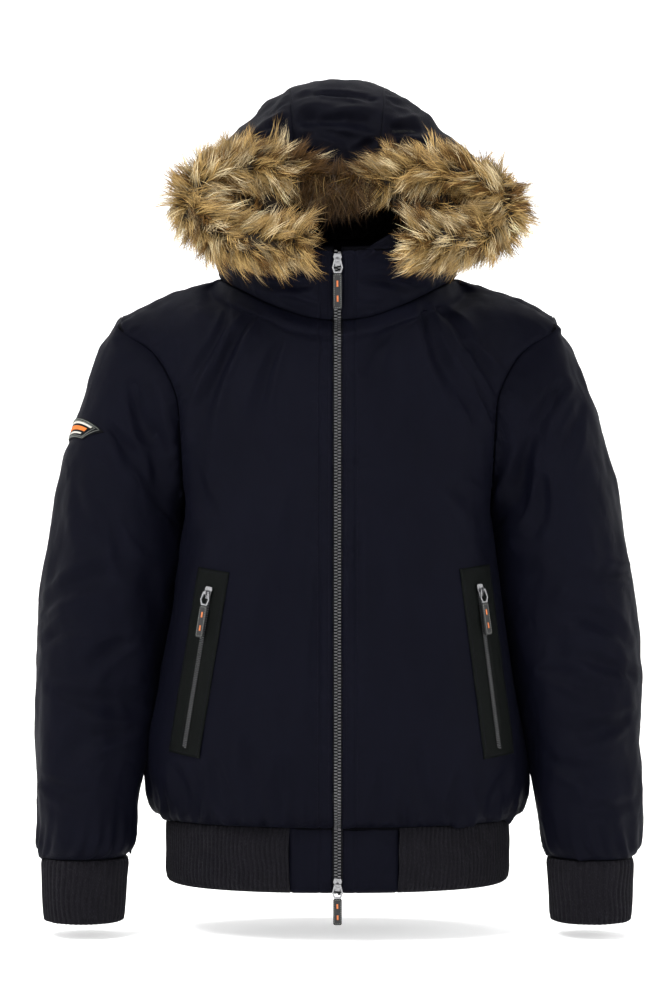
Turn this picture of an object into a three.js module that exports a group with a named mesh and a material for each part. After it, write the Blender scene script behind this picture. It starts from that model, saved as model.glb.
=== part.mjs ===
// Hooded bomber jacket in its worn, filled-out shape. Millimetres, +Z up, the front faces -Y
// and +X is the wearer's left. The origin lies between the shoulders at the base of the neck.
// Every cloth piece is a thin wall: an outer grid of points and an inner one, closed at the
// edges, and drawn back a little from the next piece at each seam.

import * as THREE from 'three';

// ---------------------------------------------------------------- driving dimensions

const SHELL_WALL = 3; // twill, wadding and lining, pressed together
const RIB_WALL = 2.2;
const LINING_WALL = 1.2;
const LINING_START = 2; // grid lines of the hood that the lining leaves out behind the opening
const PATCH_WALL = 1;
const SEAM = 0.25; // what each piece draws back from a seam
const LIFT = 0.35; // clearance under a piece that lies on another
const DEG = Math.PI / 180;

const ZIP = { half: 4.4, teeth: 4, proud: 0.8, depth: 2.4, split: 0.15, top: 42, bottom: -634 };
const RIBS = { hem: 168, cuff: 44, height: 1.1, coarse: 4 };
const HEM_TAB = { left: 66, right: 52 }; // from the zip to the rib, measured across
const ARMPIT = 6; // the section at which the side seam ends
const COUNT = { neck: 5, backNeck: 4, shoulder: 6, armhole: 9, hoodRows: 8 };
const SIDES = [{ name: 'left', sign: 1 }, { name: 'right', sign: -1 }];

// Sections of the body from the hem seam up to the shoulder, half of the jacket. mid is on the
// centre line and edge on the side seam or the armhole; a square of 2 makes the section an
// ellipse and more makes it boxier; crest lifts its middle towards the shoulder seam.
const HEM_TO_ARMPIT = [
  { edgeX: 187, edgeZ: -568, front: -116, back: 110, square: 2.2 },
  { edgeX: 201, edgeZ: -556, front: -128, back: 121, square: 2.3 },
  { edgeX: 210, edgeZ: -528, front: -136, back: 128, square: 2.5 },
  { edgeX: 205, edgeZ: -478, front: -137, back: 130, square: 2.8 },
  { edgeX: 191, edgeZ: -400, front: -134, back: 129, square: 3 },
  { edgeX: 179, edgeZ: -320, front: -131, back: 129, square: 3 },
  { edgeX: 168, edgeZ: -240, front: -128, back: 130, square: 2.8 },
];
const FRONT_YOKE = [
  { edgeX: 169, edgeY: -36, edgeZ: -198, midY: -124, midZ: -190, crestY: 0, crestZ: 0 },
  { edgeX: 171, edgeY: -55, edgeZ: -147, midY: -119, midZ: -142, crestY: 2, crestZ: 2 },
  { edgeX: 176, edgeY: -57, edgeZ: -104, midY: -113, midZ: -98, crestY: 8, crestZ: 9 },
  { edgeX: 200, edgeY: -46, edgeZ: -61, midY: -106, midZ: -58, crestY: 17, crestZ: 28 },
];
const BACK_YOKE = [
  { edgeX: 173, edgeY: 44, edgeZ: -198, midY: 131, midZ: -190, crestY: 0, crestZ: 0 },
  { edgeX: 184, edgeY: 62, edgeZ: -147, midY: 129, midZ: -140, crestY: 0, crestZ: 2 },
  { edgeX: 194, edgeY: 61, edgeZ: -100, midY: 121, midZ: -90, crestY: -3, crestZ: 6 },
  { edgeX: 216, edgeY: 43, edgeZ: -53, midY: 106, midZ: -38, crestY: -10, crestZ: 21 },
];
const YOKE_TURNS = [80, 72, 68, 64]; // degrees that each yoke section turns by its edge
const YOKE_SQUARE = 2.4;
const FRONT_RIDGE = { neckOut: 11, neckRise: -14, shoulderOut: 24, shoulderRise: -13, facing: -1 };
const BACK_RIDGE = { neckOut: 14, neckRise: -12, shoulderOut: 30, shoulderRise: 3, facing: 1 };
const SHOULDER_POINT = { x: 238, y: -14, z: -22 };
const SHOULDER_RISE = 5; // bow of the shoulder seam above its straight line

// The neckline from centre front (row 0) past the shoulder seam (row 4) to centre back (row 8),
// and the top line of the collar above each of its points.
const NECK = [
  { x: 4.4, y: -100, z: -28, topX: 4.4, topY: -112, topZ: 46 },
  { x: 35, y: -98, z: -24, topX: 36, topY: -111, topZ: 47 },
  { x: 72, y: -85, z: -10, topX: 80, topY: -100, topZ: 50 },
  { x: 106, y: -54, z: 8, topX: 119, topY: -68, topZ: 58 },
  { x: 128, y: -10, z: 22, topX: 141, topY: -12, topZ: 66 },
  { x: 126, y: 26, z: 26, topX: 137, topY: 34, topZ: 71 },
  { x: 104, y: 55, z: 26, topX: 113, topY: 67, topZ: 74 },
  { x: 62, y: 73, z: 23, topX: 66, topY: 88, topZ: 75 },
  { x: 0, y: 78, z: 20, topX: 0, topY: 96, topZ: 75 },
];
const NECK_SHOULDER = 4;

// The hood: the edge of its opening from the collar outwards and back over the brim, and the
// seam of its centre panel from the brim over the crown down to the collar.
const FACE_EDGE = [
  { x: 60, y: -104, z: 66 },
  { x: 108, y: -88, z: 79 },
  { x: 144, y: -75, z: 100 },
  { x: 128, y: -66, z: 119 },
  { x: 92, y: -61, z: 138 },
  { x: 42, y: -58, z: 131 },
];
const FACE_SPREAD = { left: 1.1, right: 0.98 };
const CROWN_SEAM = [
  { x: 42, y: -58, z: 131 },
  { x: 46, y: -57, z: 162 },
  { x: 50, y: -49, z: 202 },
  { x: 52, y: -14, z: 231 },
  { x: 53, y: 42, z: 232 },
  { x: 54, y: 92, z: 198 },
  { x: 54, y: 118, z: 150 },
  { x: 54, y: 114, z: 106 },
];
const CROWN_CORNER = 4.4; // where on the seam a side panel's top becomes its back
const CROWN_ARCH = 9; // rise of the centre panel above its two seams
const HOOD_BULGE = { x: 5, z: 3 };
const HOOD_BACK = 7; // the neckline row under the centre panel's seam
const HOOD_FRONT = 0.8; // the neckline row at which the opening starts

// The fur's roll, as far as its tips reach, from the collar round the end to the brim.
const FUR = {
  right: [
    { x: 37, y: -142, z: 53, reach: 30 },
    { x: 80, y: -138, z: 50, reach: 35 },
    { x: 124, y: -127, z: 61, reach: 36 },
    { x: 154, y: -119, z: 90, reach: 36 },
    { x: 135, y: -106, z: 122, reach: 36 },
    { x: 97, y: -99, z: 138, reach: 36 },
    { x: 51, y: -96, z: 131, reach: 33 },
    { x: 0.15, y: -92, z: 113, reach: 25 },
  ],
  left: [
    { x: 78, y: -138, z: 55, reach: 31 },
    { x: 116, y: -133, z: 51, reach: 35 },
    { x: 158, y: -122, z: 61, reach: 35 },
    { x: 178, y: -118, z: 92, reach: 34 },
    { x: 146, y: -106, z: 122, reach: 35 },
    { x: 93, y: -98, z: 132, reach: 35 },
    { x: 42, y: -94, z: 120, reach: 31 },
    { x: 0.15, y: -92, z: 113, reach: 25 },
  ],
};
const FUR_SIDES = 12;
const FUR_RINGS = 20;

// Rings of a sleeve from the cuff up: its outer and inner edge seen from the front, the middle
// of its depth, and half its depth.
const SLEEVE = [
  { outerX: 321, outerZ: -607, innerX: 228, innerZ: -605, midY: -38, depth: 47 },
  { outerX: 329, outerZ: -590, innerX: 221, innerZ: -588, midY: -37, depth: 56 },
  { outerX: 330.5, outerZ: -545, innerX: 215, innerZ: -540, midY: -33, depth: 60 },
  { outerX: 331.5, outerZ: -480, innerX: 208.5, innerZ: -493, midY: -26, depth: 64 },
  { outerX: 331.5, outerZ: -415, innerX: 201.5, innerZ: -447, midY: -19, depth: 67 },
  { outerX: 327.5, outerZ: -342, innerX: 193, innerZ: -400, midY: -12, depth: 70 },
  { outerX: 319, outerZ: -280, innerX: 186, innerZ: -352, midY: -6, depth: 72 },
  { outerX: 309, outerZ: -222, innerX: 180.5, innerZ: -312, midY: -2, depth: 73 },
  { outerX: 296.5, outerZ: -162, innerX: 176.5, innerZ: -282, midY: 1, depth: 72 },
  { outerX: 280.5, outerZ: -107, innerX: 174.5, innerZ: -263, midY: 3, depth: 67 },
  { outerX: 262, outerZ: -54, innerX: 173, innerZ: -252, midY: 3, depth: 61 },
];
const SLEEVE_ROWS = [0, 0.5, 1, 2, 3, 4, 5, 6, 7, 8, 9, 10, 11];
const BODY_ROWS = [0, 0.5, 1, 1.5, 2, 2.5, 3, 3.5, 4, 4.5, 5, 5.5, ARMPIT];

// Rings of the ribbed cuff and of the hem band.
const CUFF = [
  { outerX: 315, innerX: 234, z: -685, midY: -42, depth: 41 },
  { outerX: 318, innerX: 232, z: -676, midY: -42, depth: 44 },
  { outerX: 321, innerX: 228, z: -607, midY: -38, depth: 47 },
];
const BAND = [
  { edgeX: 181, edgeZ: -638, front: -112, back: 106, square: 2.2 },
  { edgeX: 187, edgeZ: -624, front: -117, back: 111, square: 2.2 },
  { edgeX: 187, edgeZ: -568, front: -116, back: 110, square: 2.2 },
];

// The largest soft troughs, as lines seen from the front or from behind.
const FRONT_TROUGHS = [
  { fromX: 84, fromZ: -22, toX: 142, toZ: -140, width: 15, depth: 7 },
  { fromX: 60, fromZ: -45, toX: 82, toZ: -135, width: 12, depth: 4 },
];
const BACK_TROUGHS = [
  { fromX: 146, fromZ: -78, toX: 166, toZ: -180, width: 16, depth: 5 },
  { fromX: 30, fromZ: -470, toX: 130, toZ: -500, width: 14, depth: 4 },
];
const SLEEVE_TROUGHS = [
  { fromX: 222, fromZ: -95, toX: 186, toZ: -175, width: 14, depth: 7 },
  { fromX: 262, fromZ: -150, toX: 200, toZ: -205, width: 12, depth: 5 },
  { fromX: 318, fromZ: -335, toX: 240, toZ: -300, width: 13, depth: 4 },
  { fromX: 306, fromZ: -408, toX: 215, toZ: -425, width: 13, depth: 4 },
];

// Slanted zip pockets: a welt of dark twill on each front with a short zip along it.
const POCKETS = {
  left: { topX: 146, topZ: -291, bottomX: 172, bottomZ: -493, sliderAlong: 0.125 },
  right: { topX: 131, topZ: -294, bottomX: 163, bottomZ: -491, sliderAlong: 0.125 },
};
const WELT = { half: 17, wall: 1, lift: 0.7, across: 4, along: 14 };
const POCKET_ZIP = { half: 2.6, wall: 1.1, from: 0.1, to: 0.955 };
const ARM_PATCH = { fromRing: 5.9, toRing: 9.7, fromRow: 8.12, toRow: 8.54, skew: 0.16 };

// Sliders and pulls. The pull's bail turns in the lug on the slider.
const SLIDER = { half: 4.6, length: 13, plate: 1.5, lugHalf: 1.1, lugOuter: 2.6, hole: 1.35 };
const BAIL = { bar: 1.5, neck: 2.1, belly: 4.3, drop: 13 };
const TAG = { half: 4.6, length: 38, thick: 2, corner: 1.2 };
const PIVOT = 3.1; // from the plate's face to the axis of the lug
const HEM_TAG_LENGTH = 28;
const POCKET_TAG_LENGTH = 34;

// ---------------------------------------------------------------- materials

const FINISH = {
  twill: { color: 0x161824, roughness: 0.85, metalness: 0 },
  welt: { color: 0x17191b, roughness: 0.8, metalness: 0 },
  rib: { color: 0x2a2a30, roughness: 0.95, metalness: 0 },
  lining: { color: 0x0c0c10, roughness: 1, metalness: 0 },
  fur: { color: 0x8a6a45, roughness: 0.9, metalness: 0 },
  teeth: { color: 0x3c3c40, roughness: 0.4, metalness: 0.8 },
  metal: { color: 0x9a9a9c, roughness: 0.3, metalness: 1 },
  tag: { color: 0x141416, roughness: 0.6, metalness: 0 },
  badge: { color: 0x2a302c, roughness: 0.8, metalness: 0 },
};

const jacket = new THREE.Group();

function addMesh(name, finish, geometry) {
  const mesh = new THREE.Mesh(geometry, new THREE.MeshStandardMaterial(FINISH[finish]));
  mesh.name = name;
  jacket.add(mesh);
  return mesh;
}

// ---------------------------------------------------------------- curves through table rows

// Every column of a table at row t, on a smooth curve through the rows.
function rowAt(rows, t) {
  const last = rows.length - 1;
  const k = Math.max(0, Math.min(Math.floor(t), last - 1));
  const f = t - k;
  const result = {};
  for (const column of Object.keys(rows[0])) {
    const start = rows[k][column];
    const end = rows[k + 1][column];
    const before = k > 0 ? rows[k - 1][column] : 2 * start - end;
    const after = k + 2 <= last ? rows[k + 2][column] : 2 * end - start;
    result[column] = hermite(start, end, (end - before) / 2, (after - start) / 2, f);
  }
  return result;
}

function hermite(start, end, leave, arrive, f) {
  const f2 = f * f;
  const f3 = f2 * f;
  return start * (2 * f3 - 3 * f2 + 1) + leave * (f3 - 2 * f2 + f)
    + end * (3 * f2 - 2 * f3) + arrive * (f3 - f2);
}

function hermiteVector(start, end, leave, arrive, f) {
  return new THREE.Vector3(
    hermite(start.x, end.x, leave.x, arrive.x, f),
    hermite(start.y, end.y, leave.y, arrive.y, f),
    hermite(start.z, end.z, leave.z, arrive.z, f),
  );
}

function vectorOf(row) {
  return new THREE.Vector3(row.x, row.y, row.z);
}

// ---------------------------------------------------------------- body

const bodySection = (row, side) => ({
  edgeX: row.edgeX, edgeY: 0, edgeZ: row.edgeZ, midY: row[side], midZ: row.edgeZ,
  turn: 90, square: row.square, crestY: 0, crestZ: 0,
});
const yokeSection = (row, k) => ({ ...row, turn: YOKE_TURNS[k], square: YOKE_SQUARE });
const sectionsOf = (yoke, side) => [
  ...HEM_TO_ARMPIT.map((row) => bodySection(row, side)),
  ...yoke.map(yokeSection),
];

// A point of one section, from the centre line (s = 0) to its edge (s = 1).
function sectionPoint(row, startX, s) {
  const turn = row.turn * DEG;
  const across = Math.sin(turn * s) / Math.sin(turn);
  const fall = (angle) => 1 - Math.max(0, 1 - Math.sin(angle) ** row.square) ** (1 / row.square);
  const round = fall(turn * s) / fall(turn);
  const crest = Math.sin(Math.PI * s) ** 1.5;
  return new THREE.Vector3(
    startX + (row.edgeX - startX) * across,
    row.midY + (row.edgeY - row.midY) * round + row.crestY * crest,
    row.midZ + (row.edgeZ - row.midZ) * s * s + row.crestZ * crest,
  );
}

const neckPoint = (row) => vectorOf(rowAt(NECK, row));

function collarTopPoint(row) {
  const at = rowAt(NECK, row);
  return new THREE.Vector3(at.topX, at.topY, at.topZ);
}

function shoulderSeamPoint(f) {
  const point = neckPoint(NECK_SHOULDER).lerp(vectorOf(SHOULDER_POINT), f);
  point.z += SHOULDER_RISE * Math.sin(Math.PI * f);
  return point;
}

// The top edge of a front or of half a back: neckline, then shoulder seam.
function topEdgePoint(s, neckShare, centreRow) {
  if (s < neckShare) return neckPoint(centreRow + (NECK_SHOULDER - centreRow) * (s / neckShare));
  return shoulderSeamPoint((s - neckShare) / (1 - neckShare));
}

// The last section below a panel's top edge: it stands off the neckline, and on the shoulder
// it lies in front of the seam or behind it.
function ridgePoint(ridge, s, neckShare, centreRow) {
  const point = topEdgePoint(s, neckShare, centreRow);
  const onShoulder = THREE.MathUtils.smoothstep(s, 0.6 * neckShare, 1.6 * neckShare);
  const out = new THREE.Vector3(point.x, point.y, 0).normalize();
  out.lerp(new THREE.Vector3(0, ridge.facing, 0), onShoulder).normalize();
  point.addScaledVector(out, THREE.MathUtils.lerp(ridge.neckOut, ridge.shoulderOut, onShoulder));
  point.z += THREE.MathUtils.lerp(ridge.neckRise, ridge.shoulderRise, onShoulder);
  return point;
}

// A front or half a back as a list of curves from the centre line to the edge, hem to top.
function panelOf(sections, startX, neckColumns, centreRow, ridge) {
  const neckShare = neckColumns / (neckColumns + COUNT.shoulder);
  return [
    ...sections.map((row) => (s) => sectionPoint(row, startX, s)),
    (s) => ridgePoint(ridge, s, neckShare, centreRow),
    (s) => topEdgePoint(s, neckShare, centreRow),
  ];
}

const FRONT = panelOf(sectionsOf(FRONT_YOKE, 'front'), ZIP.half, COUNT.neck, 0, FRONT_RIDGE);
const BACK = panelOf(sectionsOf(BACK_YOKE, 'back'), 0, COUNT.backNeck, 2 * NECK_SHOULDER, BACK_RIDGE);

// The surface of a front or half a back at s across and section t, counted from the hem.
function panelPoint(panel, s, t) {
  const last = panel.length - 1;
  const curve = (k) => panel[k](s);
  const slope = (k) => {
    if (k === 0) return curve(1).sub(curve(0));
    const below = curve(k).sub(curve(k - 1));
    if (k === last) return below;
    const through = curve(k + 1).sub(curve(k - 1)).multiplyScalar(0.5);
    return k === ARMPIT ? through.lerp(below, THREE.MathUtils.smoothstep(s, 0.75, 1)) : through;
  };
  const k = Math.min(Math.floor(t), last - 1);
  return hermiteVector(curve(k), curve(k + 1), slope(k), slope(k + 1), t - k);
}

// Section numbers of the grid's rows, with the same count above the armpit on front and back.
function panelRows(panel) {
  const above = panel.length - 1 - ARMPIT;
  const rows = [...BODY_ROWS];
  for (let i = 1; i <= COUNT.armhole; i += 1) rows.push(ARMPIT + above * i / COUNT.armhole);
  return rows;
}

function gridOf(rowValues, columnValues, pointAt) {
  return rowValues.map((row) => columnValues.map((column) => pointAt(column, row)));
}

const steps = (from, to, count) => Array.from({ length: count + 1 },
  (_, i) => from + (to - from) * i / count);

const mirrored = (grid) => grid.map((row) => row
  .map((point) => new THREE.Vector3(-point.x, point.y, point.z)).reverse());

function frontGrid() {
  const columns = steps(0, 1, COUNT.neck + COUNT.shoulder);
  return gridOf(panelRows(FRONT), columns, (s, t) => panelPoint(FRONT, s, t));
}

// The back runs from the left side seam to the right one.
function backGrid() {
  const half = COUNT.backNeck + COUNT.shoulder;
  const columns = steps(1, -1, 2 * half);
  return gridOf(panelRows(BACK), columns, (s, t) => {
    const point = panelPoint(BACK, Math.abs(s), t);
    if (s < 0) point.x = -point.x;
    return point;
  });
}

// ---------------------------------------------------------------- sleeves

function armholePoint(index) {
  const onFront = index <= COUNT.armhole;
  const panel = onFront ? FRONT : BACK;
  const step = onFront ? index : 2 * COUNT.armhole - index;
  const above = panel.length - 1 - ARMPIT;
  return panelPoint(panel, 1, ARMPIT + above * step / COUNT.armhole);
}

// Ring index 0 is at the inner edge; the index then runs over the front and the outer edge.
function sleeveRingPoint(row, index) {
  if (row === SLEEVE.length) return armholePoint(index);
  const ring = SLEEVE[row];
  const angle = Math.PI * (1 - index / COUNT.armhole);
  return new THREE.Vector3(
    (ring.outerX + ring.innerX) / 2 + (ring.outerX - ring.innerX) / 2 * Math.cos(angle),
    ring.midY - ring.depth * Math.sin(angle),
    (ring.outerZ + ring.innerZ) / 2 + (ring.outerZ - ring.innerZ) / 2 * Math.cos(angle),
  );
}

function sleevePoint(index, t) {
  const last = SLEEVE.length;
  const slope = (k) => {
    const high = Math.min(k + 1, last);
    const low = Math.max(k - 1, 0);
    return sleeveRingPoint(high, index).sub(sleeveRingPoint(low, index)).divideScalar(high - low);
  };
  const k = Math.min(Math.floor(t), last - 1);
  const start = sleeveRingPoint(k, index);
  return hermiteVector(start, sleeveRingPoint(k + 1, index), slope(k), slope(k + 1), t - k);
}

function sleeveGrid() {
  return gridOf(SLEEVE_ROWS, steps(0, 2 * COUNT.armhole, 2 * COUNT.armhole), sleevePoint);
}

// ---------------------------------------------------------------- collar and hood

function collarFrontGrid() {
  const columns = steps(0, NECK_SHOULDER, COUNT.neck);
  return gridOf(steps(0, 1, 3), columns, (row, f) => collarPoint(row, f));
}

function collarBackGrid() {
  const columns = steps(-NECK_SHOULDER, NECK_SHOULDER, 2 * COUNT.backNeck);
  return gridOf(steps(0, 1, 3), columns, (column, f) => {
    const point = collarPoint(2 * NECK_SHOULDER - Math.abs(column), f);
    if (column > 0) point.x = -point.x;
    return point;
  });
}

function collarPoint(row, f) {
  return neckPoint(row).lerp(collarTopPoint(row), f);
}

function faceEdgePoint(f, spread) {
  const start = collarTopPoint(HOOD_FRONT);
  const rows = [{ x: start.x, y: start.y, z: start.z }, ...FACE_EDGE];
  const point = vectorOf(rowAt(rows, f * (rows.length - 1)));
  point.x *= 1 + (spread - 1) * Math.sin(Math.PI * f);
  return point;
}

function crownSeamPoint(t) {
  const foot = collarTopPoint(HOOD_BACK);
  const rows = [...CROWN_SEAM, { x: foot.x, y: foot.y, z: foot.z }];
  return vectorOf(rowAt(rows, t));
}

// Neckline rows under a hood side, the same ones that the collar pieces are cut at.
function hoodBaseRows() {
  const front = steps(HOOD_FRONT, NECK_SHOULDER, COUNT.neck - 1);
  return [...front, NECK_SHOULDER + 1, NECK_SHOULDER + 2, HOOD_BACK];
}

// A hood side is spanned between its four edges: collar, crown seam, opening and back seam.
function hoodSideGrid(spread) {
  const base = hoodBaseRows().map(collarTopPoint);
  const top = steps(0, CROWN_CORNER, base.length - 1).map(crownSeamPoint);
  const front = steps(0, 1, COUNT.hoodRows).map((f) => faceEdgePoint(f, spread));
  const back = steps(CROWN_SEAM.length, CROWN_CORNER, COUNT.hoodRows).map(crownSeamPoint);
  const lastColumn = base.length - 1;
  return front.map((frontPoint, j) => base.map((basePoint, i) => {
    const u = i / lastColumn;
    const v = j / COUNT.hoodRows;
    const point = frontPoint.clone().lerp(back[j], u);
    point.add(basePoint.clone().lerp(top[i], v));
    const lower = front[0].clone().lerp(back[0], u);
    point.sub(lower.lerp(front[COUNT.hoodRows].clone().lerp(back[COUNT.hoodRows], u), v));
    const bulge = Math.sin(Math.PI * u) * Math.sin(Math.PI * v);
    point.x += HOOD_BULGE.x * bulge;
    point.z += HOOD_BULGE.z * bulge;
    return point;
  }));
}

// The centre panel runs from the brim over the crown to the collar, between its two seams.
function hoodCentreGrid() {
  const seamRows = [
    ...steps(0, CROWN_CORNER, hoodBaseRows().length - 1),
    ...steps(CROWN_CORNER, CROWN_SEAM.length, COUNT.hoodRows).slice(1),
  ];
  const columns = steps(-1, 1, 4);
  return gridOf(seamRows, columns, (column, t) => {
    const seam = crownSeamPoint(t);
    const ahead = crownSeamPoint(Math.min(t + 0.02, CROWN_SEAM.length));
    const behind = crownSeamPoint(Math.max(t - 0.02, 0));
    const up = ahead.sub(behind).setX(0).normalize();
    const foot = THREE.MathUtils.smoothstep(CROWN_SEAM.length - t, 0, 1.5);
    const rise = CROWN_ARCH * (1 - column * column) * foot;
    const centre = collarTopPoint(2 * NECK_SHOULDER);
    const footBow = (centre.y - seam.y) * (1 - column * column) * (1 - foot);
    return new THREE.Vector3(seam.x * column, seam.y - up.z * rise + footBow, seam.z + up.y * rise);
  });
}

// ---------------------------------------------------------------- walls from grids

function gridNormals(grid, closed) {
  const lastRow = grid.length - 1;
  const lastColumn = grid[0].length - 1;
  return grid.map((row, r) => row.map((_, c) => {
    const left = closed && c === 0 ? lastColumn - 1 : Math.max(c - 1, 0);
    const right = closed && c === lastColumn ? 1 : Math.min(c + 1, lastColumn);
    const across = row[right].clone().sub(row[left]);
    const along = grid[Math.min(r + 1, lastRow)][c].clone().sub(grid[Math.max(r - 1, 0)][c]);
    return across.cross(along).normalize();
  }));
}

// Pieces that meet at a seam take one common direction there, square to the seam, so that
// their edges lie parallel.
function shareNormals(pieces) {
  const sums = new Map();
  const keyOf = (point) => point.toArray().map((value) => Math.round(value * 20)).join();
  for (const piece of pieces) {
    piece.grid.forEach((row, r) => row.forEach((point, c) => {
      const key = keyOf(point);
      const sum = sums.get(key) ?? { direction: new THREE.Vector3(), count: 0 };
      sum.direction.add(piece.normals[r][c]);
      sum.count += 1;
      sums.set(key, sum);
    }));
  }
  for (const piece of pieces) {
    piece.normals = piece.grid.map((row, r) => row.map((point, c) => {
      const { direction, count } = sums.get(keyOf(point));
      const seam = count === 2 ? seamDirection(piece, r, c) : null;
      const normal = direction.clone();
      if (seam) normal.addScaledVector(seam, -normal.dot(seam));
      return normal.normalize();
    }));
  }
}

function seamDirection({ grid, closed }, r, c) {
  const lastRow = grid.length - 1;
  const lastColumn = grid[0].length - 1;
  if (r === 0 || r === lastRow) {
    const wrap = closed && (c === 0 || c === lastColumn);
    const next = grid[r][wrap ? 1 : Math.min(c + 1, lastColumn)];
    return next.clone().sub(grid[r][wrap ? lastColumn - 1 : Math.max(c - 1, 0)]).normalize();
  }
  if (closed || (c > 0 && c < lastColumn)) return null;
  return grid[r + 1][c].clone().sub(grid[r - 1][c]).normalize();
}

function troughDepth(point, troughs) {
  let depth = 0;
  for (const trough of troughs) {
    const runX = trough.toX - trough.fromX;
    const runZ = trough.toZ - trough.fromZ;
    const offX = Math.abs(point.x) - trough.fromX;
    const offZ = point.z - trough.fromZ;
    const length2 = runX * runX + runZ * runZ;
    const along = THREE.MathUtils.clamp((offX * runX + offZ * runZ) / length2, 0, 1);
    const gap = Math.hypot(offX - along * runX, offZ - along * runZ) / trough.width;
    depth += trough.depth * Math.exp(-gap * gap) * Math.sin(Math.PI * (0.15 + 0.7 * along));
  }
  return depth;
}

// Draws the edge points back from the seams, presses the troughs in, and offsets the inside.
function wallGrids(piece) {
  const { grid, normals, closed, wall, troughs = [], troughSide = 0, inset = 0 } = piece;
  const drawn = piece.seam ?? SEAM;
  const lastRow = grid.length - 1;
  const lastColumn = grid[0].length - 1;
  const outer = [];
  const inner = [];
  for (let r = 0; r <= lastRow; r += 1) {
    outer.push([]);
    inner.push([]);
    for (let c = 0; c <= lastColumn - (closed ? 1 : 0); c += 1) {
      const place = grid[r][c].clone();
      const inR = THREE.MathUtils.clamp(r, 1, lastRow - 1);
      const inC = closed ? c : THREE.MathUtils.clamp(c, 1, lastColumn - 1);
      const edge = inR !== r || inC !== c;
      const corner = inR !== r && inC !== c;
      const shift = grid[inR][inC].clone().sub(place);
      if (edge) place.addScaledVector(shift.normalize(), corner ? drawn * Math.SQRT2 : drawn);
      const facing = troughSide === 0 || normals[r][c].y * troughSide > 0;
      const depth = edge || !facing ? 0 : troughDepth(place, troughs);
      outer[r].push(place.clone().addScaledVector(normals[r][c], -depth - inset));
      inner[r].push(place.addScaledVector(normals[r][c], -depth - inset - wall));
    }
  }
  return { outer, inner };
}

// Triangles between two rows of point numbers that run side by side and may differ in count;
// between equal rows each four-cornered cell is cut along its shorter diagonal.
function stitch(points, push, lower, upper, closed) {
  const lowerCount = closed ? lower.length : lower.length - 1;
  const upperCount = closed ? upper.length : upper.length - 1;
  const distance = (a, b) => points[a].distanceTo(points[b]);
  let i = 0;
  let j = 0;
  while (i < lowerCount || j < upperCount) {
    const a = lower[i % lower.length];
    const b = upper[j % upper.length];
    const nextLower = lower[(i + 1) % lower.length];
    const nextUpper = upper[(j + 1) % upper.length];
    const level = lowerCount === upperCount && i === j;
    const lowerFirst = level
      ? distance(nextLower, b) <= distance(a, nextUpper)
      : (i + 1) * upperCount <= (j + 1) * lowerCount && i < lowerCount;
    if (j >= upperCount || lowerFirst) {
      push(a, nextLower, b);
      i += 1;
    } else {
      push(a, nextUpper, b);
      j += 1;
    }
  }
}

// One closed body from an outer and an inner grid of points.
function wallGeometry(outer, inner, closed) {
  const points = [];
  const number = (grid) => grid.map((row) => row.map((point) => points.push(point) - 1));
  const outside = number(outer);
  const inside = number(inner);
  const triangles = [];
  const join = (lower, upper, loop) => stitch(
    points, (a, b, c) => triangles.push(a, b, c), lower, upper, loop,
  );
  const joinBack = (lower, upper, loop) => stitch(
    points, (a, b, c) => triangles.push(a, c, b), lower, upper, loop,
  );
  for (let r = 0; r + 1 < outside.length; r += 1) join(outside[r], outside[r + 1], closed);
  for (let r = 0; r + 1 < inside.length; r += 1) joinBack(inside[r], inside[r + 1], closed);
  join(inside[0], outside[0], closed);
  join(outside[outside.length - 1], inside[inside.length - 1], closed);
  if (!closed) {
    const column = (grid, atEnd) => grid.map((row) => row[atEnd ? row.length - 1 : 0]);
    joinBack(column(inside, false), column(outside, false), false);
    join(column(inside, true), column(outside, true), false);
  }
  return solidFrom(points, triangles);
}

// A geometry from shared points; it is turned inside out when its faces point inwards.
function solidFrom(points, triangles) {
  let volume = 0;
  for (let i = 0; i < triangles.length; i += 3) {
    const [a, b, c] = triangles.slice(i, i + 3).map((index) => points[index]);
    volume += a.dot(b.clone().cross(c));
  }
  if (volume < 0) triangles.reverse();
  const geometry = new THREE.BufferGeometry().setFromPoints(points);
  geometry.setIndex(triangles);
  geometry.computeVertexNormals();
  return geometry;
}

function addWall(piece) {
  const { outer, inner } = wallGrids(piece);
  addMesh(piece.name, piece.finish, wallGeometry(outer, inner, piece.closed));
}

// ---------------------------------------------------------------- cloth pieces

const front = frontGrid();
const sleeve = sleeveGrid();
const collarFront = collarFrontGrid();
const twill = [
  { name: 'back', grid: backGrid(), troughs: BACK_TROUGHS, troughSide: 1 },
  { name: 'collar_back', grid: collarBackGrid() },
  { name: 'hood_centre', grid: hoodCentreGrid() },
];
for (const { name, sign } of SIDES) {
  const hand = (grid) => (sign > 0 ? grid : mirrored(grid));
  twill.push({ name: `front_${name}`, grid: hand(front), troughs: FRONT_TROUGHS, troughSide: -1 });
  twill.push({
    name: `sleeve_${name}`, grid: hand(sleeve), closed: true, seam: 3 * SEAM, troughs: SLEEVE_TROUGHS,
  });
  twill.push({ name: `collar_${name}`, grid: hand(collarFront) });
  twill.push({ name: `hood_${name}`, grid: hand(hoodSideGrid(FACE_SPREAD[name])), seam: 2 * SEAM });
}
for (const piece of twill) {
  piece.finish = 'twill';
  piece.wall = SHELL_WALL;
  piece.closed = piece.closed ?? false;
  piece.normals = gridNormals(piece.grid, piece.closed);
}
shareNormals(twill);
twill.forEach(addWall);

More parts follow.
